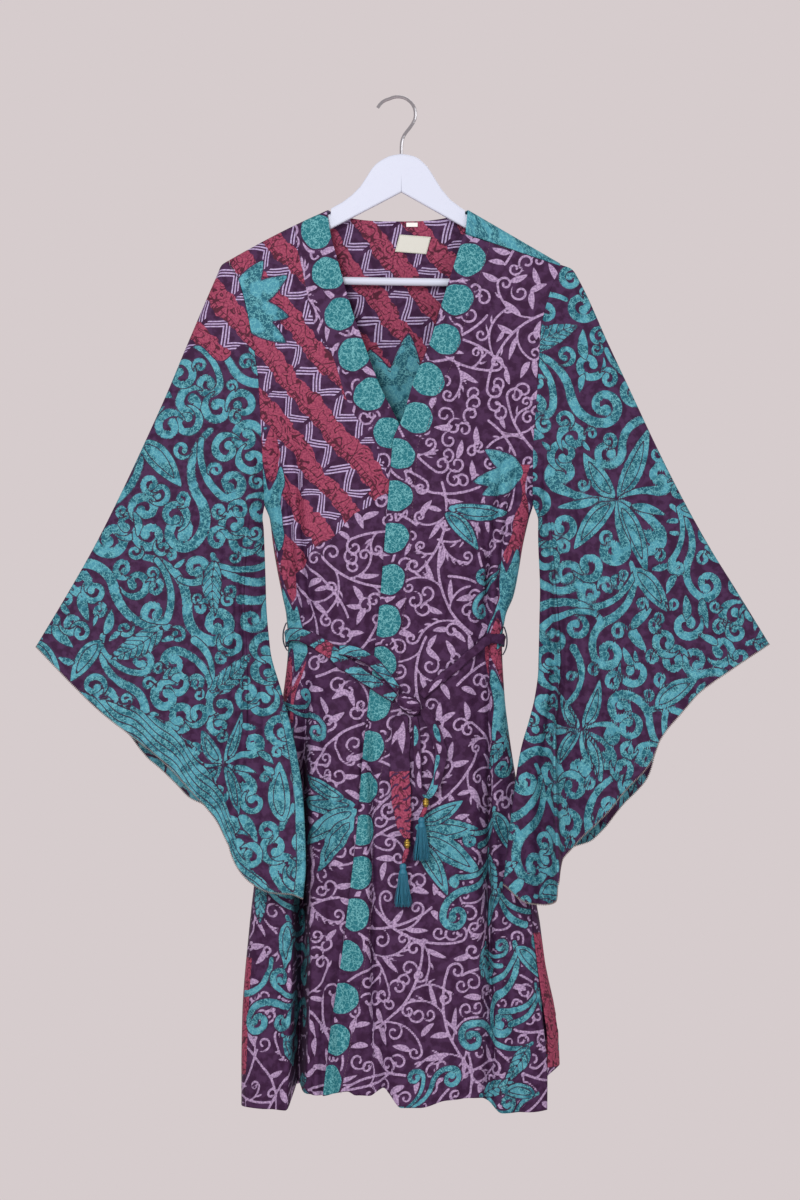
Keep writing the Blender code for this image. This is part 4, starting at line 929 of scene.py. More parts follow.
def tassel(name, x, y, top, spread=3.3):
    """A bound head with threads hung from it, all in one mesh."""
    a = around(40)
    drop = np.linspace(0, TASSEL_HEAD[-1][0], 31)[:, None]
    radius = smooth(drop, *np.array(TASSEL_HEAD, float).T)
    radius = radius * (1 + 0.035 * np.cos(20 * a))
    radius = radius + 0.18 * np.cos(drop * 4.2) * np.exp(-(((drop - 7) / 1.6) ** 2))
    foot, foot_radius = TASSEL_HEAD[-1]
    parts = [loft(name, stack(x + radius * np.cos(a), y + radius * np.sin(a), top - drop))]
    t = np.linspace(0, 1, 9)
    ring = np.linspace(0, 2 * math.pi, 5, endpoint=False)
    thin = THREAD_RADIUS * (1 - 0.3 * t**3)
    for k in range(TASSEL_THREADS):
        share = math.sqrt((k + 0.5) / TASSEL_THREADS)
        turn = k * 2.39996
        length = (TASSEL_LENGTH - foot) * (1 + 0.05 * math.sin(k * 1.7)) + 1.5
        reach = foot_radius * 0.92 * share * (1 + (spread - 1) * 0.5 * t**1.2)
        sway = 0.7 * np.sin(k * 2.1 + 3 * t) * t
        line = stack(x + reach * math.cos(turn) + sway,
                     y + reach * math.sin(turn) * (1 - 0.15 * t) + 0.4 * sway,
                     top - foot + 1.5 - length * t)
        rings = line[:, None] + thin[:, None, None] * stack(np.cos(ring), np.sin(ring), 0.0)
        parts.append(loft(f"{name}_{k}", rings))
    return joined(parts)


def joined(parts):
    """Joins objects into the first of them."""
    with bpy.context.temp_override(active_object=parts[0], selected_editable_objects=parts):
        bpy.ops.object.join()
    return parts[0]


# %% [markdown]
# ## The print
# The cloth is printed in four families of motif on plum: thin lilac vines with curls and feathered leaves,
# bold teal scrolls on the sleeves, a zone of red bands and lilac zigzags, and a row of teal medallions down
# each front edge. The layout here is its own. Each motif is a stroke or a leaf whose depth is worked out at
# the points near it: how many millimetres a point lies inside its outline. The finish later turns that into a
# crisp edge.


# %% Laying a shape on the print
MARGIN = 14.0  # how far round a motif its depth is worked out, in mm
TAKEN = {"teal": 0.24, "vine": 0.16}  # the share of a motif that others may have taken already
STORED = ("vine", "teal", "vein", "zone", "disc", "red")  # a depth of each is stored at every point


def new_print(u, v):
    """An empty print over points at u, v on the flat cut, in mm."""
    sheet = {"u": np.ravel(u), "v": np.ravel(v), "shape": u.shape}
    sheet.update({ink: np.full(u.size, OUTSIDE) for ink in ("vine", "teal", "zone", "disc", "red")})
    sheet["vein"] = np.full(u.size, 6.0)
    return sheet


def near(sheet, x, y, heading, reach):
    """The points within reach of (x, y), along the heading and to its left."""
    reach += MARGIN
    u, v = sheet["u"] - x, sheet["v"] - y
    found = np.flatnonzero((np.abs(u) < reach) & (np.abs(v) < reach))
    u, v = u[found], v[found]
    cos, sin = math.cos(heading), math.sin(heading)
    return found, cos * u + sin * v, cos * v - sin * u


def lay(sheet, ink, found, depth, veins=None, joined=False, most=1.0):
    """Lays a shape over what is there, unless more than a share of it is taken. Tells whether it was laid.

    Teal over teal leaves a fine line of the ground, by a change of sign.
    """
    old, inside = sheet[ink][found], depth > 0
    if np.sum(inside & (old > 0)) > most * np.sum(inside):
        return False
    if ink == "teal":
        was = sheet["vein"][found]
        rim = (np.abs(depth) < 3) & (old > 0)
        sign = 1.0 if (np.sum(np.sign(was[rim])) > 0) == joined else -1.0
        value = np.minimum(depth, 6.0) if veins is None else np.minimum(np.abs(veins), depth) * np.sign(veins)
        kept = was
        if joined:
            value = np.maximum(value, np.where((old > 0) & (sign * was > 0), np.abs(was), 0.0))
        else:
            kept = np.sign(was) * np.minimum(np.abs(was), np.maximum(-depth, 0.05))
        sheet["vein"][found] = np.where(inside, sign * value, np.where(depth > -6, kept, was))
    sheet[ink][found] = np.maximum(old, depth)
    return True


# %% Curls, leaves and stems
def curl(sheet, ink, x, y, heading, size, wide, hand, turns=1.05, shrink=0.18, foot=0.25, joined=False):
    """A stroke from (x, y) along the heading that winds in to a round tip, to its left if hand is 1."""
    middle_x, middle_y = x - hand * size * math.sin(heading), y + hand * size * math.cos(heading)
    found, p, q = near(sheet, middle_x, middle_y, heading - hand * math.pi / 2, size + wide)
    q = q * hand
    radius, angle = np.hypot(p, q), np.arctan2(q, p)
    whole = np.round((np.log(size / np.maximum(radius, 0.2)) / shrink - angle) / (2 * math.pi))
    last = 2 * math.pi * turns
    phi = np.clip(angle + 2 * math.pi * whole, 0, last)
    line = size * np.exp(-shrink * phi)
    half = wide * np.minimum(foot + (1 - foot) * phi / 1.3, 1.0)
    depth = half - np.hypot(p - line * np.cos(phi), q - line * np.sin(phi))
    tip = size * math.exp(-shrink * last)
    ball = 1.12 * wide - np.hypot(p - 0.95 * tip * math.cos(last), q - 0.95 * tip * math.sin(last))
    return lay(sheet, ink, found, np.maximum(depth, ball), joined=joined, most=TAKEN[ink])


def drop(sheet, ink, x, y, heading, length, wide, bend, veins=0.0, teeth=0.0, joined=False, over=False):
    """A curved leaf from its narrow foot at (x, y) to its tip, with veins and a toothed edge if given."""
    found, p, q = near(sheet, x, y, heading, length + abs(bend))
    t = np.clip(p / length, 0, 1)
    off = (q - bend * t**2) / np.sqrt(1 + (2 * bend * t / length) ** 2)
    half = wide * np.sin(math.pi * t**0.8) ** 0.8
    if teeth:
        half = half * (1 + teeth * (np.abs((t * length / 7.0) % 1 - 0.5) - 0.25) * 2)
    past = np.maximum(-p, p - length)
    depth = np.where(past > 0, -np.hypot(np.maximum(np.abs(off) - 0.3, 0), past), half - np.abs(off))
    lines = None
    if veins:
        run = (t * length - 0.9 * np.abs(off) - 0.03 * off**2) / veins
        lines = np.where(np.abs(off) < 0.7, 0.0, np.sign(off) * (veins / math.pi) * np.sin(math.pi * run))
    return lay(sheet, ink, found, depth, lines, joined, 1.0 if joined or over else TAKEN[ink])


def petal(sheet, ink, x, y, heading, length, wide, bend):
    """A plain leaf with a smaller one inside it, so that a fine line follows its outline."""
    if drop(sheet, ink, x, y, heading, length, wide, bend):
        ahead = (x + 0.1 * length * math.cos(heading), y + 0.1 * length * math.sin(heading))
        drop(sheet, ink, *ahead, heading + 0.1 * bend / length, 0.72 * length, 0.5 * wide, 0.7 * bend,
             over=True)


def stem(sheet, ink, x, y, heading, length, turn, wide_start, wide_end, joined=False):
    """A stroke along an arc that turns by so much over its length. Gives places and headings along it."""
    steps = 12
    t = np.linspace(0, 1, steps + 1)
    heads = heading + turn * (t[:-1] + t[1:]) / 2
    xs, ys = (sums(way) * length / steps for way in (np.cos(heads), np.sin(heads)))
    found, p, q = near(sheet, x, y, 0.0, length)
    depth = np.full(len(found), OUTSIDE)
    for k in range(steps):
        ax, ay, bx, by = xs[k], ys[k], xs[k + 1] - xs[k], ys[k + 1] - ys[k]
        s = np.clip(((p - ax) * bx + (q - ay) * by) / (bx * bx + by * by), 0, 1)
        half = wide_start + (wide_end - wide_start) * (k + s) / steps
        depth = np.maximum(depth, half - np.hypot(p - ax - s * bx, q - ay - s * by))
    if not lay(sheet, ink, found, depth, joined=joined, most=TAKEN[ink]):
        return []
    return [(x + xs[k], y + ys[k], heading + turn * k / steps) for k in range(steps + 1)]


# %% Sprays of motifs
def feather(sheet, ink, way, hand, places, length, wide):
    """A row of small hooked strokes along one side of a stem, like lashes."""
    for k in places:
        x, y, heading = way[k]
        lean = 1.05 - 0.03 * k
        drop(sheet, ink, x, y, heading + hand * lean, length * (1.1 - 0.035 * k), wide, -0.35 * length * hand)


def wind_up(sheet, ink, way, size, half, hand):
    """The curl at the end of a stem, as large as there is room for."""
    for share in (1.0, 0.72, 0.5):
        for turned in (hand, -hand):
            thin = half * (0.5 + 0.5 * share)
            if curl(sheet, ink, *way[12], share * size, thin, turned, foot=1.0, joined=True):
                return


def shoot(sheet, ink, way, k, lean, length, turn, half, size):
    """A side stroke that leaves a stem at its k-th place and winds up in a curl."""
    x, y, heading = way[k]
    out = stem(sheet, ink, x, y, heading + lean, length, turn, 0.75 * half, half)
    if out:
        wind_up(sheet, ink, out, size, half, 1 if turn > 0 else -1)
    return out


VINE_SHOOTS = (  # place on the stem, lean, length, turn, size of the curl
    (2, -0.4, 54, -1.6, 7.5), (4, 0.5, 36, 1.5, 7.0), (7, -0.4, 42, -1.5, 7.0), (9, 0.55, 20, 1.2, 6.0),
)


def vine_spray(sheet, x, y, heading, hand, size):
    """A long thin branch with side branches that peel off it, curls, leaves and feathered hooks."""
    way = stem(sheet, "vine", x, y, heading, 104 * size, 1.2 * hand, 1.5, 1.4)
    if not way:
        return
    wind_up(sheet, "vine", way, 8.5 * size, 1.45, hand)
    for k, lean, length, turn, reach in VINE_SHOOTS:
        out = shoot(sheet, "vine", way, k, lean * hand, length * size, turn * hand, 1.35, reach * size)
        if out and k != 4:
            feather(sheet, "vine", out, hand if k < 9 else -hand, range(5, 12, 2), 10 * size, 1.25)
        if out:
            leaf_x, leaf_y, stem_way = out[3]
            leaf_way = stem_way + (0.5 if k > 4 else -0.5) * hand
            drop(sheet, "vine", leaf_x, leaf_y, leaf_way, 24 * size, 3.0, 4 * hand)
    feather(sheet, "vine", way, hand, range(7, 12, 2), 9 * size, 1.25)


def scroll_spray(sheet, x, y, heading, hand, size):
    """A bold branch that turns one way and then the other, with open curls, veined leaves and teeth."""
    way = stem(sheet, "teal", x, y, heading, 84 * size, 1.5 * hand, 3.2 * size, 5.4 * size)
    if not way:
        return
    far = stem(sheet, "teal", *way[12], 56 * size, -1.5 * hand, 5.4 * size, 5.4 * size, joined=True)
    if far:
        wind_up(sheet, "teal", far, 20 * size, 5.4 * size, -hand)
        feather(sheet, "teal", far, hand, range(2, 12), 13 * size, 2.6)
    shoot(sheet, "teal", way, 2, 0.45 * hand, 70 * size, 1.1 * hand, 4.8 * size, 17 * size)
    leaf = (*way[1][:2], way[1][2] - 0.7 * hand, 68 * size, 13 * size, 14 * hand * size)
    if math.sin(7 * x + y) > 0.3:
        drop(sheet, "teal", *leaf, veins=9.0)
    else:
        petal(sheet, "teal", *leaf)
    shoot(sheet, "teal", way, 7, -0.4 * hand, 26 * size, -1.0 * hand, 4.6 * size, 15 * size)


# %% Flowers and medallions
def flower(sheet, x, y, size, start=0.3, petals=9):
    """Long petals that run together in a knot, some of them veined leaves and some ending in a curl."""
    for k in range(petals):
        heading = start + 2 * math.pi * k / petals + 0.12 * math.sin(3 * k)
        hand = 1 if k % 4 < 2 else -1
        length = size * (60 + 12 * math.sin(2.1 * k))
        foot = (x + 3 * math.cos(heading), y + 3 * math.sin(heading))
        if k % 2:
            petal(sheet, "teal", *foot, heading, length, 9.5 * size, 14 * hand)
        else:
            way = stem(sheet, "teal", *foot, heading, 0.8 * length, 0.6 * hand, 1.6, 5.0 * size)
            if way:
                wind_up(sheet, "teal", way, 14 * size, 5.0 * size, hand)
                drop(sheet, "teal", *way[3][:2], way[3][2] - 0.35 * hand, 0.6 * length, 4.4 * size, 6 * hand)


def medallion(sheet, x, y, radius, turn=0.0):
    """A teal disc with a slightly uneven rim, with clear ground round it."""
    found, p, q = near(sheet, x, y, turn, radius)
    angle = np.arctan2(q, p)
    rim = 1 + 0.045 * np.sin(2 * angle) + 0.03 * np.sin(3 * angle) + 0.015 * np.sin(7 * angle + 1)
    depth = radius * rim - np.hypot(p, q)
    for ink in ("vine", "zone", "teal"):
        sheet[ink][found] = np.minimum(sheet[ink][found], -(depth + 2.2))
    sheet["disc"][found] = np.maximum(sheet["disc"][found], depth)


# %% Covering a sheet with motifs
def scattered(sheet, draw, spacing, size, seed):
    """Draws a spray at every place of an uneven lattice over the sheet, at headings of its own."""
    dice = np.random.default_rng(seed)
    u0, u1, v0, v1 = sheet["u"].min(), sheet["u"].max(), sheet["v"].min(), sheet["v"].max()
    for row, y in enumerate(np.arange(v0 - spacing / 2, v1 + spacing / 2, spacing * 0.86)):
        start = u0 - spacing / 2 + (row % 2) * spacing / 2
        for place, x in enumerate(np.arange(start, u1 + spacing / 2, spacing)):
            jog = dice.uniform(-0.14, 0.14, 2) * spacing
            heading = dice.uniform(-0.5, 0.5) + row * 2.4 + place * 1.1
            hand = 1 if (row + place) % 2 else -1
            draw(sheet, x + jog[0], y + jog[1], heading, hand, size * dice.uniform(0.88, 1.12))


def fill(sheet, ink, least, most, half, seed, leafy=0.25, count=420):
    """Fills the largest gaps one by one. Each stroke springs from the nearest one and ends in its gap."""
    dice = np.random.default_rng(seed)
    u, v = sheet["u"], sheet["v"]
    full = np.zeros(u.size)
    for _ in range(count):
        spot = int(np.argmax(np.minimum(-sheet[ink], most) + dice.uniform(0, 1.2, u.size) - full))
        size = min(-sheet[ink][spot], most)
        if size < least or full[spot] > 0:
            break
        x, y = u[spot], v[spot]
        close = np.flatnonzero((np.abs(u - x) < size + 5) & (np.abs(v - y) < size + 5) & (sheet[ink] > 0))
        way = dice.uniform(0, 6.28)
        if close.size:
            nearest = close[np.argmin(np.hypot(u[close] - x, v[close] - y))]
            way = math.atan2(v[nearest] - y, u[nearest] - x)
        hand = 1 if dice.random() < 0.5 else -1
        wide = min(half, 0.26 * size)
        reach = size + 1.0
        foot = (x + reach * math.cos(way), y + reach * math.sin(way))
        if dice.random() < leafy:
            broad = max(1.3 * wide, 0.3 * size)
            drop(sheet, ink, *foot, way + math.pi - 0.5 * hand, 1.75 * size, broad, 0.5 * size * hand)
        else:
            curl(sheet, ink, *foot, way + hand * math.pi / 2, size * 0.96, wide, hand)
        full[np.hypot(u - x, v - y) < 0.5 * size] = 99.0


def within(values, low, high):
    """How far values lie inside a range."""
    return np.minimum(values - low, high - values)


def fields_of(sheet):
    """The print's values in the shape of the grid. Leaves and scrolls lie over vines, medallions over all."""
    sheet["vine"] = np.minimum(sheet["vine"], -(sheet["teal"] + 1.6))
    sheet["vine"] = np.minimum(sheet["vine"], -np.maximum(sheet["zone"], sheet["red"]))
    sheet["zone"] = np.minimum(sheet["zone"], -(sheet["teal"] + 1.2))
    return {ink: sheet[ink].reshape(sheet["shape"]) for ink in STORED}


# %% [markdown]
# ## Where the motifs lie
# Each panel was cut from the printed cloth with a different part of the design on it. The medallions follow
# the front edges, the red and zigzag zone lies over the right front's chest, the back's yoke and the top of
# the right sleeve, vines cover the rest of the body, and the sleeves are nearly all bold scrolls. The back
# isn't seen, so it repeats the families of the front.

# %% Motifs placed one by one
MEDALLION = 19.7  # radius, as the photograph's discs are some 39 mm wide
MEDALLION_STEP = 50.0
MEDALLION_START = {-1: 158.0, 1: 190.0}  # how far down the first one's middle lies, and the last
MEDALLION_END = 1230.0
MEDALLION_INSET = 15.5  # from the free edge to a middle
CUT_INSET = 9.0  # below the left front's chest the edge cuts the discs, and they are a little smaller
CUT_SMALLER = 0.6
CHEST_FOOT = 400.0
FRONT_LEAVES = {  # x, down, heading in degrees, length, half width, bend, and how deep its edge is toothed
    -1: (
        (-186, 158, 84, 96, 19, 6, 0.30), (-62, 846, 176, 74, 12, 10, 0), (-60, 852, 158, 84, 13, -12, 0),
        (-64, 862, 138, 78, 12, -16, 0), (-70, 872, 118, 58, 9, -14, 0), (-74, 838, 196, 60, 9, 14, 0),
    ),
    1: (
        (60, 492, 12, 84, 10, -12, 0), (56, 498, 34, 60, 10, 14, 0), (30, 872, 8, 78, 13, -8, 0),
        (34, 880, 26, 92, 14, 10, 0), (32, 890, 48, 74, 11, 14, 0), (36, 866, -14, 56, 10, -12, 0),
    ),
}
FRONT_SCROLLS = {  # x, down, heading in radians, hand, size
    -1: (
        (-150, 640, 1.7, 1, 0.55), (-158, 716, 1.3, -1, 0.6), (-215, 900, 1.8, 1, 0.8),
        (-240, 980, 1.4, -1, 0.85), (-205, 1060, 2.0, 1, 0.8), (-250, 1120, 0.4, -1, 0.8),
        (-180, 1180, 0.2, 1, 0.7), (-120, 1208, 0.1, 1, 0.5), (-262, 930, 1.5, -1, 0.8),
        (-268, 1030, 1.6, 1, 0.8), (-150, 1000, 1.4, 1, 0.6),
    ),
    1: (
        (138, 560, 1.5, 1, 0.55), (146, 630, 1.8, -1, 0.5), (150, 760, 1.7, -1, 0.7),
        (146, 850, 1.5, 1, 0.75), (160, 940, 1.7, -1, 0.8), (182, 1010, 1.2, 1, 0.85),
        (158, 1080, 1.8, -1, 0.8), (196, 1130, 2.6, 1, 0.8), (120, 1190, 0.1, 1, 0.75),
        (20, 1204, 0.1, -1, 0.6), (206, 1190, 2.9, -1, 0.7), (130, 900, 1.5, 1, 0.8),
        (212, 960, 1.6, -1, 0.8), (206, 1060, 1.5, 1, 0.8), (126, 1010, 1.4, -1, 0.6),
    ),
}
# A star on each front: x, down, size, headings of its lobes
FRONT_STAR = {-1: (-196, 252, 1.0, (-62, -28, 6, 38)), 1: (156, 452, 0.9, (152, 176, 206))}
ZONE_FOOT = 478.0  # how far down the right front's zigzags reach, and how far from its free edge they stay
ZONE_INSET = 42.0
RED_STRETCH = {-1: (1030, 1170), 1: (440, 610)}  # where red shows at the side seam, down the cut
GATHER = {-1: (395, 770), 1: (520, 770)}  # where gathered cloth at the side seam shows teal and red by turns


def star(sheet, x, y, size, headings):
    """Pointed teal lobes that run together in one foot."""
    for k, heading in enumerate(headings):
        length = size * (66 + 8 * (k % 2))
        drop(sheet, "teal", x, y, math.radians(heading), length, size * 13, (-1) ** k * 4, joined=True)


def leaves(sheet, table):
    """Teal leaves from a table."""
    for x, down, heading, *size, teeth in table:
        if teeth:
            drop(sheet, "teal", x, down, math.radians(heading), *size, teeth=teeth)
        else:
            petal(sheet, "teal", x, down, math.radians(heading), *size)


# %% The fronts' print
def front_print(side, u, v):
    """The print of one front."""
    sheet = new_print(u, v)
    edge = LEFT_EDGE if side > 0 else RIGHT_EDGE
    to_side = np.abs(u[:, -1:] - u).ravel()
    from_edge = np.abs(u - u[:, :1]).ravel()
    scattered(sheet, vine_spray, 76, 1.2, 11 + side)
    fill(sheet, "vine", 9.0, 12.5, 1.35, 3 + side, leafy=0.55)
    along = sheet["v"]
    if side < 0:
        zone = np.minimum(ZONE_FOOT + 0.85 * np.maximum(-24 - sheet["u"], 0) - along, from_edge - ZONE_INSET)
        sheet["zone"] = zone + 3 * np.sin(sheet["u"] / 7.0)
        ragged = 18 - to_side
    else:
        ragged = 6 + 4 * np.sin(along / 13.0) - np.abs(to_side - 13)
    sheet["red"] = np.minimum(within(along, *RED_STRETCH[side]), ragged)
    gather = np.minimum(within(along, *GATHER[side]), 25 - to_side + 5 * np.sin(along / 17))
    patch = 7 * np.sin(along / 23 + side) + 4 * np.sin(to_side / 4 + along / 31)
    sheet["teal"] = np.maximum(sheet["teal"], np.minimum(gather, patch))
    sheet["red"] = np.maximum(sheet["red"], np.minimum(gather, -3 - patch))
    star(sheet, *FRONT_STAR[side])
    leaves(sheet, FRONT_LEAVES[side])
    for x, down, heading, hand, size in FRONT_SCROLLS[side]:
        scroll_spray(sheet, x, down, heading, hand, size)
    at = MEDALLION_START[side]
    while at < MEDALLION_END:
        here, after = (float(by_height(edge, -at - more)) for more in (0, 1))
        lean = math.hypot(1, after - here)
        inset, radius = MEDALLION_INSET, MEDALLION
        if side > 0 and at >= CHEST_FOOT:
            inset, radius = CUT_INSET, MEDALLION - CUT_SMALLER
        middle = (here + side * inset / lean, at - side * inset * (after - here) / lean)
        medallion(sheet, *middle, radius * (1 - 0.02 * (at // 49 % 3)), turn=at)
        at += MEDALLION_STEP / lean
    return fields_of(sheet)


# %% The back's print
BACK_SCROLLS = ((640, 1.6, 1, 0.6), (900, 1.5, -1, 0.8), (1010, 1.8, 1, 0.85), (1130, 1.4, -1, 0.8))


def back_print(u, v):
    """The print of the back: zone at the yoke, vines below, teal leaves in the neck and fans at the hips."""
    sheet = new_print(u, v)
    scattered(sheet, vine_spray, 76, 1.2, 5)
    fill(sheet, "vine", 9.0, 12.5, 1.35, 9, leafy=0.55)
    sheet["zone"] = 452 - sheet["v"] + 14 * np.sin(sheet["u"] / 23.0) + 3 * np.sin(sheet["u"] / 7.0)
    sheet["red"] = np.minimum(within(sheet["v"], 1000, 1160), sheet["u"] - 205)
    star(sheet, 2, 402, 1.65, (-112, -83, -58))
    for side in (-1, 1):
        for k, heading in enumerate((200, 174, 150, 126, 104)):
            way = math.radians(heading if side < 0 else 180 - heading)
            bend = side * (6 - 6 * k)
            drop(sheet, "teal", side * 14, 856 + 5 * k, way, 92 - 7 * k, 13 - k, bend, veins=7.0)
        for down, heading, hand, size in BACK_SCROLLS:
            way = heading if side > 0 else math.pi - heading
            scroll_spray(sheet, side * 168, down, way, hand * side, size)
    for x in (-120, -40, 40, 120):
        scroll_spray(sheet, x, 1196, 0.1, 1 if x > 0 else -1, 0.6)
    patch = np.minimum(sheet["u"] - 82, 221 - sheet["v"])
    lay(sheet, "teal", np.arange(patch.size), patch)
    return fields_of(sheet)


# %% The sleeves' print
SLEEVE_FLOWERS = {-1: ((-205, 800, 0.9),), 1: ((262, 480, 1.3), (215, 760, 0.9))}


def sleeve_print(side, grid, u, v):
    """The print of one sleeve: bold scrolls, flowers, and a border of wavy stripes along the mouth."""
    sheet = new_print(u, v)
    for x, down, size in SLEEVE_FLOWERS[side]:
        flower(sheet, x, down, size)
    scattered(sheet, scroll_spray, 96, 1.0, 21 + side)
    fill(sheet, "teal", 8.0, 21.0, 5.2, 31 + side)
    step = np.linalg.norm(np.diff(grid[::-1], axis=0), axis=2)
    to_mouth = sums(step)[::-1].ravel()
    wave = to_mouth + 2.2 * np.sin(sheet["u"] / 8.0) + 1.5 * np.sin(sheet["u"] / 21.0)
    stripes = 7.5 / math.pi * np.sin(math.pi * wave / 7.5)
    if side < 0:
        border = 14 + 26 * np.sin(sheet["u"] / 60.0 - 0.4) - to_mouth
        lay(sheet, "teal", np.arange(u.size), border, stripes)
        sheet["zone"] = 306 + grid[..., 2].ravel() + 10 * np.sin(sheet["u"] / 9.0)
        inner = 10 - np.abs(grid[:, SLEEVE_FRONT : SLEEVE_FRONT + 1, 0] - grid[..., 0])
        lay(sheet, "teal", np.arange(u.size), np.minimum(inner, -735 - grid[..., 2]).ravel())
        sheet["teal"] = np.minimum(sheet["teal"] + 0.4, -(sheet["zone"] + 1.5))
    return fields_of(sheet)


# %% The belt's print
BELT_MOTIFS = {  # ink, across, along, heading in radians, length, half width, bend
    "belt_end_long": (("vine", -2, 6, 1.5, 44, 4.5, 3), ("vine", 3, 16, 1.2, 26, 2.5, -3)),
    "belt_bow_loop": (*(("teal", -3, at, 1.4, 26, 4, 2) for at in (22, 96, 180)),
                      *(("vine", 2, at, 1.7, 22, 3, -2) for at in (40, 74, 128, 152))),
    "belt_knot": (("vine", 27, -9, 1.4, 15, 1.9, 2), ("vine", 36, -3, 1.7, 15, 1.9, 2),
                  ("vine", 44, -11, 1.3, 15, 1.9, 2), ("vine", 52, -4, 1.6, 15, 1.9, 2)),
}


def belt_print(name, u, v):
    """The print of a stretch of the belt, whose edges are left plain dark plum as painted shade."""
    sheet = new_print(u, v)
    for motif in BELT_MOTIFS.get(name, ()):
        drop(sheet, *motif)
    if name in ("belt_front_right", "belt_twist", "belt_back"):
        wave = sheet["v"] + 5 * np.sin(sheet["u"] / 6.0)
        veins = 2.6 * np.sin(wave / 5.2 + sheet["u"] / 6)
        lay(sheet, "teal", np.arange(u.size), 3.2 + 4.5 * np.sin(wave / 8.5), veins)
    if name == "belt_front_right":
        sheet["red"] = 8 - np.abs(sheet["v"] - 62) + 3 * np.sin(sheet["u"] / 4.0)
        sheet["teal"] = np.minimum(sheet["teal"], -(sheet["red"] + 1.0))
    if name == "belt_end_long":
        lines = np.abs((sheet["v"] + 3 * np.sin(sheet["u"] / 3.0)) % 13 - 6.5) - 1.5
        sheet["red"] = np.minimum(sheet["v"] - 66, lines)
    if name == "belt_bow_loop":
        edge = np.minimum(within(sheet["v"], 60, 122), sheet["u"] - 2.5 - 1.5 * np.sin(sheet["v"] / 6))
        sheet["teal"] = np.maximum(sheet["teal"], edge)
    if name == "belt_front_left":
        drop(sheet, "vine", -1, v.max() - 32, 1.6, 24, 2.6, 1.5)
    if name.startswith("belt_neck"):
        sheet["red"] = np.full(u.size, 6.0)
    # No ink is laid along the belt's edges, so a strip of plain dark plum 1.3 mm wide shows there as painted
    # shade where the belt meets the cloth.
    rim = (np.abs(u).max(axis=1, keepdims=True) - np.abs(u) - 1.3).ravel()
    for ink in ("vine", "teal"):
        sheet[ink] = np.minimum(sheet[ink], rim)
    return fields_of(sheet)


# %% [markdown]
# ## Building the pieces
# Now the pieces are made from the shapes above and take the places of the plain solids. The hanger's solids
# are already right, so they stay and only get better finishes.

# %% Cloth pieces
# Each panel is built, and its print is laid out on its flat cut before it becomes a wall of cloth.
fronts = {side: front_panel(side) for side in (-1, 1)}
back_grid, back_cells, *back_cut = back_panel()
pieces, mouths, label_grids = {}, {}, {}
for side, name in ((-1, "front_right"), (1, "front_left")):
    grid, *cut = fronts[side]
    pieces[name] = shell(name + "_cloth", grid, -side, cut, front_print(side, *cut))
pieces["back"] = shell("back_cloth", back_grid, 1, back_cut, back_print(*back_cut), cells=back_cells)
for side, name in ((-1, "sleeve_right"), (1, "sleeve_left")):
    borders = (fronts[side][0][:, -1], back_grid[OVER_ROWS:, 0 if side < 0 else -1])
    grid, *cut = sleeve(side, borders)
    mouths[side] = grid
    pieces[name] = shell(name + "_cloth", grid, side, cut, sleeve_print(side, grid, *cut), closed=True)

# %% Belt, beads and tassels
for name, (rows, thick) in BELT_ROWS.items():
    rings, cut = ribbon(rows, thick, phase=len(name))
    pieces[name] = loft(name + "_cloth", rings, cut, belt_print(name, *cut))
rings, cut = knot_rings()
pieces["belt_knot"] = loft("belt_knot_cloth", rings, cut, belt_print("belt_knot", *cut))
for end, (x, top, neck, tip, off) in ENDS.items():
    y = front_at(x, top - 20, off)[1]
    pieces[f"bead_{end}"] = bead(f"bead_{end}_turned", x, y, top)
    foot = top - BEAD_HEIGHT
    lean = (tip - x) / neck
    d = np.linspace(SEAM, neck - 0.4, 40)[:, None]
    radius = smooth(d, [SEAM, 4, neck * 0.6, neck - 0.4], [2.2, 3.4, 3.0, 2.0])
    a = around(24)
    radius = radius - 0.25 * (1 + np.sin(a * 2 + d * 1.6))
    rings = stack(x + lean * d + radius * np.cos(a), y + radius * np.sin(a), foot - d)
    cut = (3 * a + 0 * d, d + 0 * a)
    pieces[f"belt_neck_{end}"] = loft(f"belt_neck_{end}_cloth", rings, cut, belt_print("belt_neck", *cut))
    pieces[f"tassel_{end}"] = tassel(f"tassel_{end}_threads", tip, y, foot - neck)
for name, own, side, height in (("right", RIGHT, -1, -646), ("left", LEFT, 1, -651)):
    half = float(by_height(BODY, height, own))
    t = np.linspace(-1, 1, 41)[:, None]
    beside = by_height(BODY, height - 17 * t, own) + 1.4
    x = side * (beside + (half + BELT_THICK + 3.5 - beside) * (1 - np.abs(t) ** 2.4))
    a = around(16)
    rings = stack(x + 0.9 * np.cos(a), 3.2 * np.sin(a), height - 17 * t)
    pieces[f"belt_loop_{name}"] = loft(f"belt_loop_{name}_thread", rings)

# %% Labels
LABEL_WALL = 0.7
for name, x0, x1, z0, z1, slope, lean in (
    ("neck_label", 1.9, 39.6, -162.6, -183.2, 0.08, 0.27),
    ("size_tab", 10.0, 23.6, -148.4, -153.4, 0.0, 0.0),
):
    x, z = np.meshgrid(np.linspace(x0, x1, 41), np.linspace(z0, z1, 25))
    at_x, at_z = x - lean * (z0 - z), z - slope * (x - x0)
    grid = stack(at_x, body_y(at_x, at_z, 1, 0) - SEAM, at_z)
    label_grids[name] = grid
    pieces[name] = shell(name + "_tape", grid, -1, (x - x0, z0 - z), wall=LABEL_WALL, lift=0.0)
for name, piece in pieces.items():
    print(name, sum(len(p.vertices) - 2 for p in piece.data.polygons), "triangles")

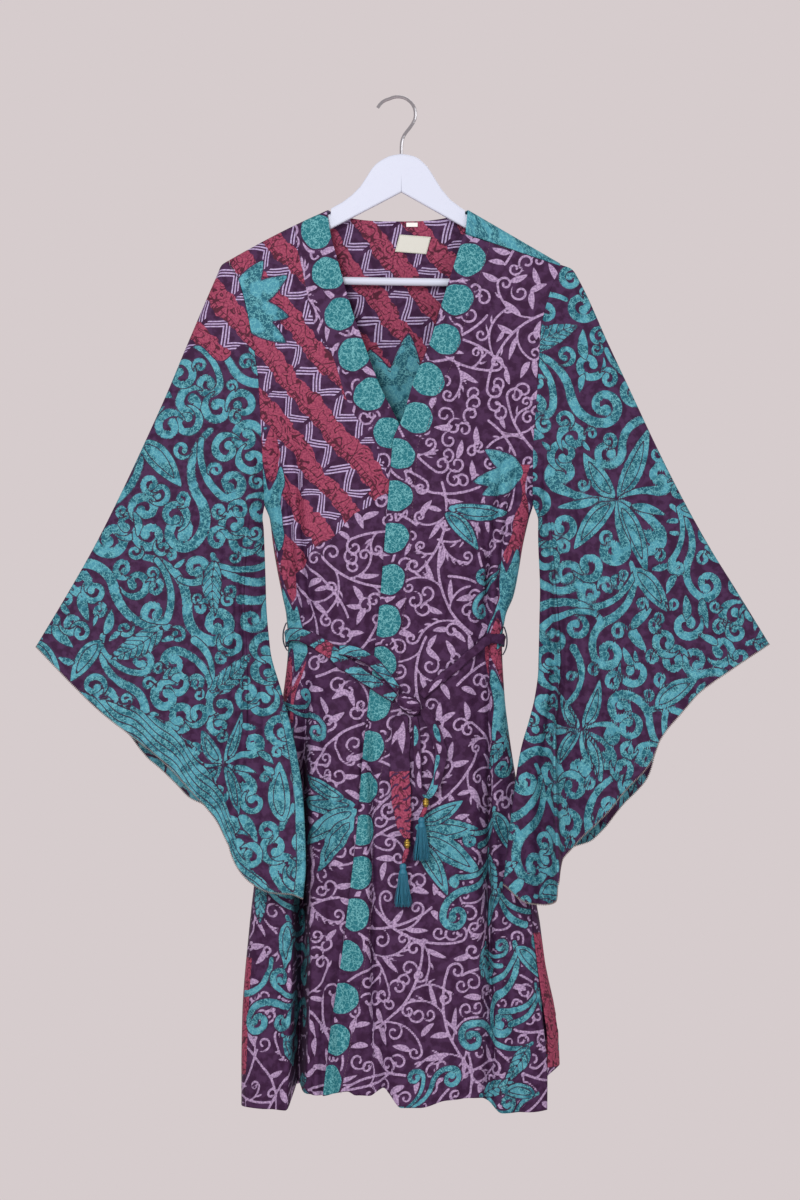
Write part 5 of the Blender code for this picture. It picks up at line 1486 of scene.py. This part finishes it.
# %% [markdown]
# ## Finishes
# The crepe is a matt polyester with a faint bloom at its edges. Its print is read from the depths stored at
# each point: a smooth step over 0.7 mm round depth 0 gives an edge as crisp as ink on cloth. Zigzags and red
# bands are drawn from the flat cut, turned by 50 degrees. Teal areas are marbled with fine pale lace, and the
# plum ground is clouded like a jacquard. The inks are laid one over another, in the order in which a printer
# lays them.

# %% Sums and inks of the crepe
BAND_TURN = math.radians(50)
BAND_PERIOD = 47.0  # from one red band to the next, in mm
BAND_HALF = 13.7
BAND_RULE = 8.6  # how far from a band's middle its row of dashes lies
ZIGZAG_RUN = 19.0
ZIGZAG_LINE = 5.2
ZIGZAG_SLOPE = 1.15
INK_EDGE = 0.35  # half the width of an ink's soft edge, in mm
LACE_SCALE = 180.0  # cells per metre, so each is some 5.5 mm wide; the real lace is finer and wouldn't show
LACE_STRAY = 0.0088
NOISES = (  # use, patches per metre, detail, distortion
    ("clouds", 95, 3, 0), ("fleck", 420, 2, 0), ("patches", 55, 1, 0), ("drift", 16, 1, 0),
    ("doodle", 60, 1.5, 1), ("ragged", 150, 1, 0), ("weave", 1500, 2, 0),
)
# Sums on the cut, in mm: the result, what it starts from, and steps. Words are noises and earlier results.
SUMS = (
    ("across", "drift", ("MULTIPLY_ADD", 26.0, "across")),
    ("middle", "across", ("WRAP", BAND_PERIOD / 2, -BAND_PERIOD / 2)),
    ("between", "across", ("ADD", BAND_PERIOD / 2), ("WRAP", BAND_PERIOD / 2, -BAND_PERIOD / 2)),
    ("zigzag", "along", ("PINGPONG", ZIGZAG_RUN),
     ("MULTIPLY_ADD", -ZIGZAG_SLOPE, ZIGZAG_SLOPE * ZIGZAG_RUN / 2)),
    ("offset", "between", ("ADD", "zigzag")),
    ("beside", "offset", ("ABSOLUTE",), ("LESS_THAN", 1.5 * ZIGZAG_LINE)),
    ("corner", "along", ("WRAP", 1.5 * ZIGZAG_RUN, -1.5 * ZIGZAG_RUN), ("ABSOLUTE",), ("GREATER_THAN", 2.2)),
    ("bars", "offset", ("WRAP", ZIGZAG_LINE / 2, -ZIGZAG_LINE / 2), ("ABSOLUTE",),
     ("SMOOTHSTEP", ZIGZAG_LINE / 4.1 - 0.3, ZIGZAG_LINE / 4.1 + 0.3, 1.0, 0.0), ("MULTIPLY", "beside"),
     ("MULTIPLY", "corner")),
    ("doodle", "doodle", ("PINGPONG", 0.2), ("SUBTRACT", 0.1), ("ABSOLUTE",),
     ("SMOOTHSTEP", 0.012, 0.032, 1.0, 0.0)),
    ("rule", "middle", ("SUBTRACT", BAND_RULE), ("ABSOLUTE",)),
    ("in_rule", "rule", ("LESS_THAN", 2.2)),
    ("rule", "rule", ("SUBTRACT", 2.6), ("ABSOLUTE",), ("LESS_THAN", 0.35)),
    ("dashes", "along", ("WRAP", 2.9, -2.9), ("ABSOLUTE",), ("LESS_THAN", 0.8), ("MULTIPLY", "in_rule")),
    ("ink", "doodle", ("MAXIMUM", "dashes"), ("MAXIMUM", "rule"), ("MULTIPLY", 0.85)),
    ("lobes", "along", ("MULTIPLY", 0.14), ("SINE",), ("ABSOLUTE",), ("MULTIPLY", 2.2)),
    ("middle", "middle", ("ABSOLUTE",)),
    ("band", "ragged", ("MULTIPLY_ADD", 6.0, BAND_HALF - 6.0), ("ADD", "lobes"), ("SUBTRACT", "middle"),
     ("SMOOTHSTEP", -INK_EDGE, INK_EDGE)),
    ("lace", "lace", ("SMOOTHSTEP", 0.005, 0.105, 1.0, 0.0)),
    ("teal_lace", "fleck", ("ADD", 0.25), ("MULTIPLY", "lace")),
    ("disc_lace", "lace", ("MULTIPLY", 0.75)),
    ("vein", "vein", ("ABSOLUTE",), ("SMOOTHSTEP", 0.2, 0.9, 1.0, 0.0)),
    ("clouds", "clouds", ("SMOOTHSTEP", 0.41, 0.59)),
    ("patches", "patches", ("SMOOTHSTEP", 0.44, 0.54)),
    ("mottle", "fleck", ("SMOOTHSTEP", 0.38, 0.62)),
    ("speck", "fleck", ("SMOOTHSTEP", 0.4, 0.6)),
    ("shade", "fleck", ("MULTIPLY", 0.35)),
    *((ink, ink, ("SMOOTHSTEP", -INK_EDGE, INK_EDGE)) for ink in ("vine", "zone", "red", "teal", "disc")),
)
# Inks in the order in which they are laid: the result, how much of the second shows, and the two colours
INKS = (
    ("plum", "clouds", "#371c39", "#482c4d"),
    ("plum", "shade", "plum", "#25142a"),
    ("lilac", "mottle", "#887293", "#af98b9"),
    ("pale", "mottle", "#9987af", "#b4a5c6"),
    ("sea", "patches", "#478a9b", "#235a6a"),
    ("sea", "teal_lace", "sea", "#6db1b7"),
    ("sea", "vein", "sea", "#341f36"),
    ("medallion", "disc_lace", "#276c76", "#76b7bb"),
    ("brick", "speck", "#7f334d", "#98465d"),
    ("brick", "ink", "brick", "#361825"),
    ("chevrons", "bars", "plum", "pale"),
    ("chevrons", "band", "chevrons", "brick"),
    ("cloth", "vine", "plum", "lilac"),
    ("cloth", "zone", "cloth", "chevrons"),
    ("cloth", "red", "cloth", "brick"),
    ("cloth", "teal", "cloth", "sea"),
    ("cloth", "disc", "cloth", "medallion"),
)


# %% The crepe's material
def crepe(name):
    """Printed crepe, 0.6 mm thick: matt, crisp at its inks' edges, with a clouded ground and laced teal."""
    made, tree, shader = new_material(name)
    cut = add(tree, "ShaderNodeUVMap", uv_map="cut")
    values = {ink: add(tree, "ShaderNodeAttribute", attribute_name=ink, out=2) for ink in STORED}
    for use, scale, detail, distortion in NOISES:
        named = {"Vector": cut, "Scale": scale, "Detail": detail, "Distortion": distortion}
        values[use] = add(tree, "ShaderNodeTexNoise", named=named)
    stray = add(tree, "ShaderNodeTexNoise", out=1, named={"Vector": cut, "Scale": 260, "Detail": 1})
    stray = add(tree, "ShaderNodeVectorMath", stray, (0.5, 0.5, 0.5), operation="SUBTRACT")
    stray = add(tree, "ShaderNodeVectorMath", stray, named={"Scale": LACE_STRAY}, operation="SCALE")
    stray = add(tree, "ShaderNodeVectorMath", cut, stray, operation="ADD")
    values["lace"] = add(tree, "ShaderNodeTexVoronoi", feature="DISTANCE_TO_EDGE",
                         named={"Vector": stray, "Scale": LACE_SCALE})
    turned = add(tree, "ShaderNodeVectorRotate", rotation_type="Z_AXIS",
                 named={"Vector": cut, "Angle": -BAND_TURN})
    turned = add(tree, "ShaderNodeVectorMath", turned, named={"Scale": 1 / MM}, operation="SCALE")
    sides = add(tree, "ShaderNodeSeparateXYZ", turned).node.outputs
    values.update(along=sides["X"], across=sides["Y"])
    for use, source, *steps in SUMS:
        value = values[source]
        for operation, *given in steps:
            given = [values[other] if isinstance(other, str) else other for other in given]
            if operation == "SMOOTHSTEP":
                value = add(tree, "ShaderNodeMapRange", value, *given, interpolation_type=operation)
            else:
                value = add(tree, "ShaderNodeMath", value, *given, operation=operation)
        values[use] = value
    inks = {}
    for use, share, *both in INKS:
        first, second = (inks[ink] if ink in inks else colour(ink) for ink in both)
        named = {0: values[share], 6: first, 7: second}  # how much of the second, and both, by socket number
        inks[use] = add(tree, "ShaderNodeMix", out=2, named=named, data_type="RGBA")
    tree.links.new(inks["cloth"], shader.inputs["Base Color"])
    named = {"Strength": 0.25, "Distance": 0.0004, "Height": values["weave"]}
    bumps = add(tree, "ShaderNodeBump", named=named)
    tree.links.new(bumps, shader.inputs["Normal"])
    shader.inputs["Roughness"].default_value = 0.62
    shader.inputs["Specular IOR Level"].default_value = 0.08
    shader.inputs["Sheen Weight"].default_value = 0.02
    shader.inputs["Sheen Roughness"].default_value = 0.4
    return made


# %% [markdown]
# ## Thread, tape, gilt, paint and chrome
# The tassels and loops are of matt viscose thread, the label is a woven tape, the tab a satin one. The beads
# are gilt and a little worn, so their colour and gloss wander. The hanger's lacquer is smooth with a faint
# orange peel, and the glued joint of its two halves shows as a hairline that fades upwards from the notch.
# The wire is chromed.


# %% Other finishes
def finish(name, base, other, roughness, metal=0.0, patch=900.0, bump=0.0, sheen=0.0):
    """A finish whose colour and gloss wander between two colours in patches, given in patches per metre."""
    made, tree, shader = new_material(name)
    where = add(tree, "ShaderNodeTexCoord", out=3)
    cloud = add(tree, "ShaderNodeTexNoise", named={"Vector": where, "Scale": patch, "Detail": 2.0})
    named = {0: cloud, 6: colour(base), 7: colour(other)}
    base = add(tree, "ShaderNodeMix", out=2, named=named, data_type="RGBA")
    tree.links.new(base, shader.inputs["Base Color"])
    gloss = add(tree, "ShaderNodeMapRange", cloud, 0.3, 0.7, roughness * 0.85, roughness * 1.15)
    tree.links.new(gloss, shader.inputs["Roughness"])
    shader.inputs["Metallic"].default_value = metal
    shader.inputs["Sheen Weight"].default_value = sheen
    if bump:
        bumps = add(tree, "ShaderNodeBump", named={"Strength": 0.4, "Distance": bump * MM, "Height": cloud})
        tree.links.new(bumps, shader.inputs["Normal"])
    return made


# %% One finish for each material
prints = {use: crepe("printed_crepe_" + use) for use in ("front", "back", "sleeve", "belt")}
MADE_OF = (  # use, name, its two colours, roughness, metallic, patches per metre, bump in mm, sheen
    ("thread", "viscose_thread", "#0d5871", "#17758f", 0.55, 0, 700, 0.2, 0.05),  # soft, deep teal, fibrous
    # The loops are real thread, coloured nearly black as painted shade along the belt's edge.
    ("loop", "dark_viscose_thread", "#28303f", "#313c4d", 0.6, 0, 700, 0.2, 0.05),  # nearly black at the belt
    ("label", "woven_label_tape", "#cfd1c8", "#c1c3ba", 0.8, 0, 1300, 0.25),  # dull cream with a fine grain
    ("tab", "satin_tab_tape", "#eceae8", "#dfddd8", 0.6, 0, 1300, 0.15),  # whiter and smoother than the label
    ("gilt", "gilt_bead", "#b3974a", "#8e7433", 0.34, 1, 420),  # warm worn metal
    ("paint", "white_lacquered_wood", "#c6cddd", "#c3cada", 0.32, 0, 260, 0.03),  # cool, faint orange peel
    # The chrome's darker patches are painted reflections.
    ("chrome", "chromed_wire", "#b6b6ba", "#9a9a9f", 0.16, 1, 300),  # bright, with dark reflections
    ("topstitch", "polyester_sewing_thread", "#5b4057", "#6b4f67", 0.6),  # a shade lighter than the plum
    ("overlock", "woolly_overlock_thread", "#958b88", "#7c726f", 0.8),  # fluffy, grey brown
    ("tape_stitch", "cream_sewing_thread", "#bdbba9", "#adab99", 0.7),  # a shade darker than the label
)
made_of = {use: finish(*row) for use, *row in MADE_OF}

# %% The hanger's glued joint
NOTCH = (0.004, -0.1125)  # where the hanger's two arms meet below, x and z in metres
SEAM_RUN = 0.022
SEAM_HALF = (0.0002, 0.0006)
tree, shader = made_of["paint"].node_tree, made_of["paint"].node_tree.nodes["Principled BSDF"]
where = add(tree, "ShaderNodeSeparateXYZ", add(tree, "ShaderNodeTexCoord", out=3)).node.outputs
aside = add(tree, "ShaderNodeMath", where["X"], NOTCH[0], operation="SUBTRACT")
aside = add(tree, "ShaderNodeMath", aside, operation="ABSOLUTE")
seam = add(tree, "ShaderNodeMapRange", aside, *SEAM_HALF, 1.0, 0.0)
fades = add(tree, "ShaderNodeMapRange", where["Z"], NOTCH[1] + SEAM_RUN, NOTCH[1], 0.0, 0.8)
above = add(tree, "ShaderNodeMath", where["Z"], NOTCH[1] - 0.004, operation="GREATER_THAN")
for part in (fades, above):
    seam = add(tree, "ShaderNodeMath", seam, part, operation="MULTIPLY")
plain = shader.inputs["Base Color"].links[0].from_socket
base = add(tree, "ShaderNodeMix", out=2, named={0: seam, 6: plain, 7: colour("#7e8496")}, data_type="RGBA")
tree.links.new(base, shader.inputs["Base Color"])
print(len(prints) + len(made_of), "finishes")

# %% [markdown]
# ## Stitches
# The left front is topstitched 30 mm from its free edge, where its facing ends. The sleeve mouths are bound
# by a rolled overlock, and the label is sewn on all round. Stitches could be drawn in the bump, but real ones
# stand on the cloth, so one Geometry Nodes tree sets small pointed beads of thread along a line. Leaned over
# across the line, the same beads make the overlock's wraps. Its real pitch of 1 mm is too fine to show, so it
# is 2.2 mm.

# %% Stitch tree
stitch_tree = bpy.data.node_groups.new("stitches_along_a_line", "GeometryNodeTree")
face_of = stitch_tree.interface
face_of.new_socket("Line", in_out="INPUT", socket_type="NodeSocketGeometry")
for title in ("Step", "Length", "Thickness", "Lean"):
    face_of.new_socket(title, in_out="INPUT", socket_type="NodeSocketFloat")
face_of.new_socket("Finish", in_out="INPUT", socket_type="NodeSocketMaterial")
face_of.new_socket("Stitches", in_out="OUTPUT", socket_type="NodeSocketGeometry")
tree = stitch_tree
given = tree.nodes.new("NodeGroupInput").outputs
line = add(tree, "GeometryNodeMeshToCurve", given["Line"])
line = add(tree, "GeometryNodeResampleCurve", named={"Curve": line, "Length": given["Step"]}, mode="LENGTH")
tangent = add(tree, "GeometryNodeInputTangent")
up = add(tree, "GeometryNodeInputNamedAttribute", "up", data_type="FLOAT_VECTOR")
across = add(tree, "ShaderNodeVectorMath", up, tangent, operation="CROSS_PRODUCT")
cos = add(tree, "ShaderNodeMath", given["Lean"], operation="COSINE")
sin = add(tree, "ShaderNodeMath", given["Lean"], operation="SINE")
way = add(tree, "ShaderNodeVectorMath", tangent, named={"Scale": cos}, operation="SCALE")
lean = add(tree, "ShaderNodeVectorMath", across, named={"Scale": sin}, operation="SCALE")
way = add(tree, "ShaderNodeVectorMath", way, lean, operation="ADD")
turn = add(tree, "FunctionNodeAlignRotationToVector", named={"Vector": way}, axis="Z")
bead_of_thread = add(tree, "GeometryNodeMeshUVSphere", 4, 3, 0.5)
bead_of_thread = add(tree, "GeometryNodeSetShadeSmooth", bead_of_thread)
sizes = add(tree, "ShaderNodeCombineXYZ", given["Thickness"], given["Thickness"], given["Length"])
named = {"Points": line, "Instance": bead_of_thread, "Rotation": turn, "Scale": sizes}
stitches = add(tree, "GeometryNodeInstanceOnPoints", named=named)
stitches = add(tree, "GeometryNodeRealizeInstances", stitches)
stitches = add(tree, "GeometryNodeSetMaterial", named={"Geometry": stitches, "Material": given["Finish"]})
tree.links.new(stitches, tree.nodes.new("NodeGroupOutput").inputs["Stitches"])
print("stitch tree", len(tree.nodes), "nodes")


# %% Lines of stitches
def stitched(name, points, up, thread, closed=False):
    """Stitches of a named thread along a line of points in mm on cloth that faces up."""
    data = bpy.data.meshes.new(name)
    edges = [(k, k + 1) for k in range(len(points) - 1)] + ([(len(points) - 1, 0)] if closed else [])
    data.from_pydata((points * MM).tolist(), edges, [])
    facing = data.attributes.new("up", "FLOAT_VECTOR", "POINT")
    facing.data.foreach_set("vector", up.astype(np.float32).ravel())
    piece = bpy.data.objects.new(name, data)
    scene.collection.objects.link(piece)
    modifier = piece.modifiers.new("stitches", "NODES")
    modifier.node_group = stitch_tree
    sockets = {item.name: item.identifier for item in stitch_tree.interface.items_tree}
    for title, value in {**STITCHES[thread], "Finish": made_of[thread]}.items():
        modifier[sockets[title]] = value
    plain = bpy.data.meshes.new_from_object(piece.evaluated_get(bpy.context.evaluated_depsgraph_get()))
    piece.modifiers.clear()
    piece.data = plain
    print(name, len(plain.polygons), "faces")
    return piece


# %% Where stitches lie
TOPSTITCH_IN = 30.0  # from the left front's free edge
grid, across_flat, _ = fronts[1]
normal = -normals_of(grid)
outer = grid + normal * (CLOTH_LIFT + CLOTH + 0.1)
edge_slope = np.gradient(grid[:, 0, 0], grid[:, 0, 2])
reach = TOPSTITCH_IN * np.hypot(1, np.clip(edge_slope, -1, 1))
runs = np.abs(across_flat - across_flat[:, :1])
lines = [np.array([on_line(*row) for row in zip(of, runs, reach)]) for of in (outer, normal)]
STITCHES = {  # in metres, by the tree's input names
    "topstitch": {"Step": 0.0038, "Length": 0.0031, "Thickness": 0.0008, "Lean": 0.0},
    "overlock": {"Step": 0.0022, "Length": 0.0036, "Thickness": 0.0013, "Lean": math.radians(55)},
    "tape_stitch": {"Step": 0.0022, "Length": 0.0017, "Thickness": 0.0006, "Lean": 0.0},
}
seams = {"front_topstitch": stitched("front_topstitch", *lines, "topstitch")}
for side, name in ((-1, "right"), (1, "left")):
    grid = mouths[side]
    normal = side * normals_of(grid, True)
    points = (grid + normal * (CLOTH_LIFT + CLOTH / 2))[-1]
    title = f"sleeve_{name}_overlock"
    seams[title] = stitched(title, points, normal[-1], "overlock", True)
grid = label_grids["neck_label"]
normal = -normals_of(grid)
on_top = np.stack([grid + normal * (LABEL_WALL + 0.1), normal])
ring = (on_top[:, 1, 1:-2], on_top[:, 1:-2, -2], on_top[:, -2, -2:1:-1], on_top[:, -2:1:-1, 1])
seams["label_stitches"] = stitched("label_stitches", *np.concatenate(ring, 1), "tape_stitch", True)

# %% [markdown]
# ## Putting it together
# Each piece gets its finish, its body and the node whose place it takes. The hanger's solids are already
# right, so they keep their meshes and only get better finishes. Each cloth piece's flat cut is then measured
# from its own map on the cut, and its size printed.

# %% Finishes on pieces
FINISHES = (  # how a piece's name starts, its slot in the record, its finish
    ("front_topstitch", "plum_print", made_of["topstitch"]), ("front", "plum_print", prints["front"]),
    ("back", "plum_back", prints["back"]), ("sleeve_right_overlock", "teal_print", made_of["overlock"]),
    ("sleeve_left_overlock", "teal_print", made_of["overlock"]), ("sleeve", "teal_print", prints["sleeve"]),
    ("belt_loop", "teal_thread", made_of["loop"]), ("belt", "belt_cloth", prints["belt"]),
    ("tassel", "teal_thread", made_of["thread"]), ("neck_label", "label_tape", made_of["label"]),
    ("label_stitches", "label_tape", made_of["tape_stitch"]), ("size_tab", "tab_tape", made_of["tab"]),
    ("bead", "gilt", made_of["gilt"]),
)
for name, piece in {**pieces, **seams}.items():
    slot, made = next((slot, made) for start, slot, made in FINISHES if name.startswith(start))
    dress(piece, made, slot, *([name] if name in pieces else []))
for node, use in (("hanger_body", "paint"), ("hanger_bar", "paint"), ("hanger_hook", "chrome")):
    for holder in [o for o in scene.objects if o.name.startswith(node)]:
        for place in holder.material_slots:
            place.material = made_of[use]
        print(node, holder.name, len(holder.material_slots))


# %% Sheets
def cut_size(piece):
    """Width, length and area of a piece's flat cut, in metres, from its map.

    A wall shows its cut on both faces. Where a tube's cut is open, its map jumps, and the cloth there counts
    with its own area.
    """
    data = piece.data
    data.calc_loop_triangles()
    spots, places = np.zeros(2 * len(data.loops), np.float32), np.zeros(3 * len(data.vertices), np.float32)
    data.uv_layers["cut"].data.foreach_get("uv", spots)
    data.vertices.foreach_get("co", places)
    loops, points = np.zeros(3 * len(data.loop_triangles), int), np.zeros(3 * len(data.loop_triangles), int)
    data.loop_triangles.foreach_get("loops", loops)
    data.loop_triangles.foreach_get("vertices", points)
    areas = []
    for values, at in ((spots.reshape(-1, 2), loops), (places.reshape(-1, 3), points)):
        corner = np.zeros((len(at) // 3, 3, 3))
        corner[..., : values.shape[1]] = values[at].reshape(-1, 3, values.shape[1])
        sides = np.cross(corner[:, 1] - corner[:, 0], corner[:, 2] - corner[:, 0])
        areas.append(np.linalg.norm(sides, axis=1) / 2)
    flat, real = areas
    width, length = (float(value) for value in np.ptp(spots.reshape(-1, 2), axis=0))
    return width, length, float(np.where(flat > 4 * real, real, flat).sum() / 2)


on = {name: piece.name for name, piece in pieces.items()}
SHEETS = {  # how each is held, what it rests on, what is sewn to it
    "front_right": ("hung", ["hanger_body"], []),
    "front_left": ("hung", ["hanger_body"], [seams["front_topstitch"]]),
    "back": ("hung", ["hanger_body"], [pieces["size_tab"]]),
    "sleeve_right": ("hung", [on["front_right"], on["back"]], [seams["sleeve_right_overlock"]]),
    "sleeve_left": ("hung", [on["front_left"], on["back"]], [seams["sleeve_left_overlock"]]),
    "belt_back": ("stretched", [on["back"]], []),
    "belt_front_right": ("stretched", [on["front_right"], on["front_left"]], []),
    "belt_front_left": ("stretched", [on["front_left"]], []),
    "belt_twist": ("folded", [on["belt_front_right"]], []),
    "belt_bow_loop": ("folded", [on["front_left"]],
                      [pieces["belt_neck_short"], pieces["bead_short"], pieces["tassel_short"]]),
    "belt_end_long": ("hung", [on["front_left"]], [pieces["belt_knot"], pieces["belt_neck_long"],
                                                   pieces["bead_long"], pieces["tassel_long"]]),
    "neck_label": ("laid", [on["back"]], [seams["label_stitches"]]),
}
for name, (held, rests_on, sewn) in SHEETS.items():
    width, length, area = cut_size(pieces[name])
    area = min(area, width * length)
    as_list(rests_on)
    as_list(sewn)
    print(f"{name} flat {width:.3f} x {length:.3f} m, {area:.4f} m2")
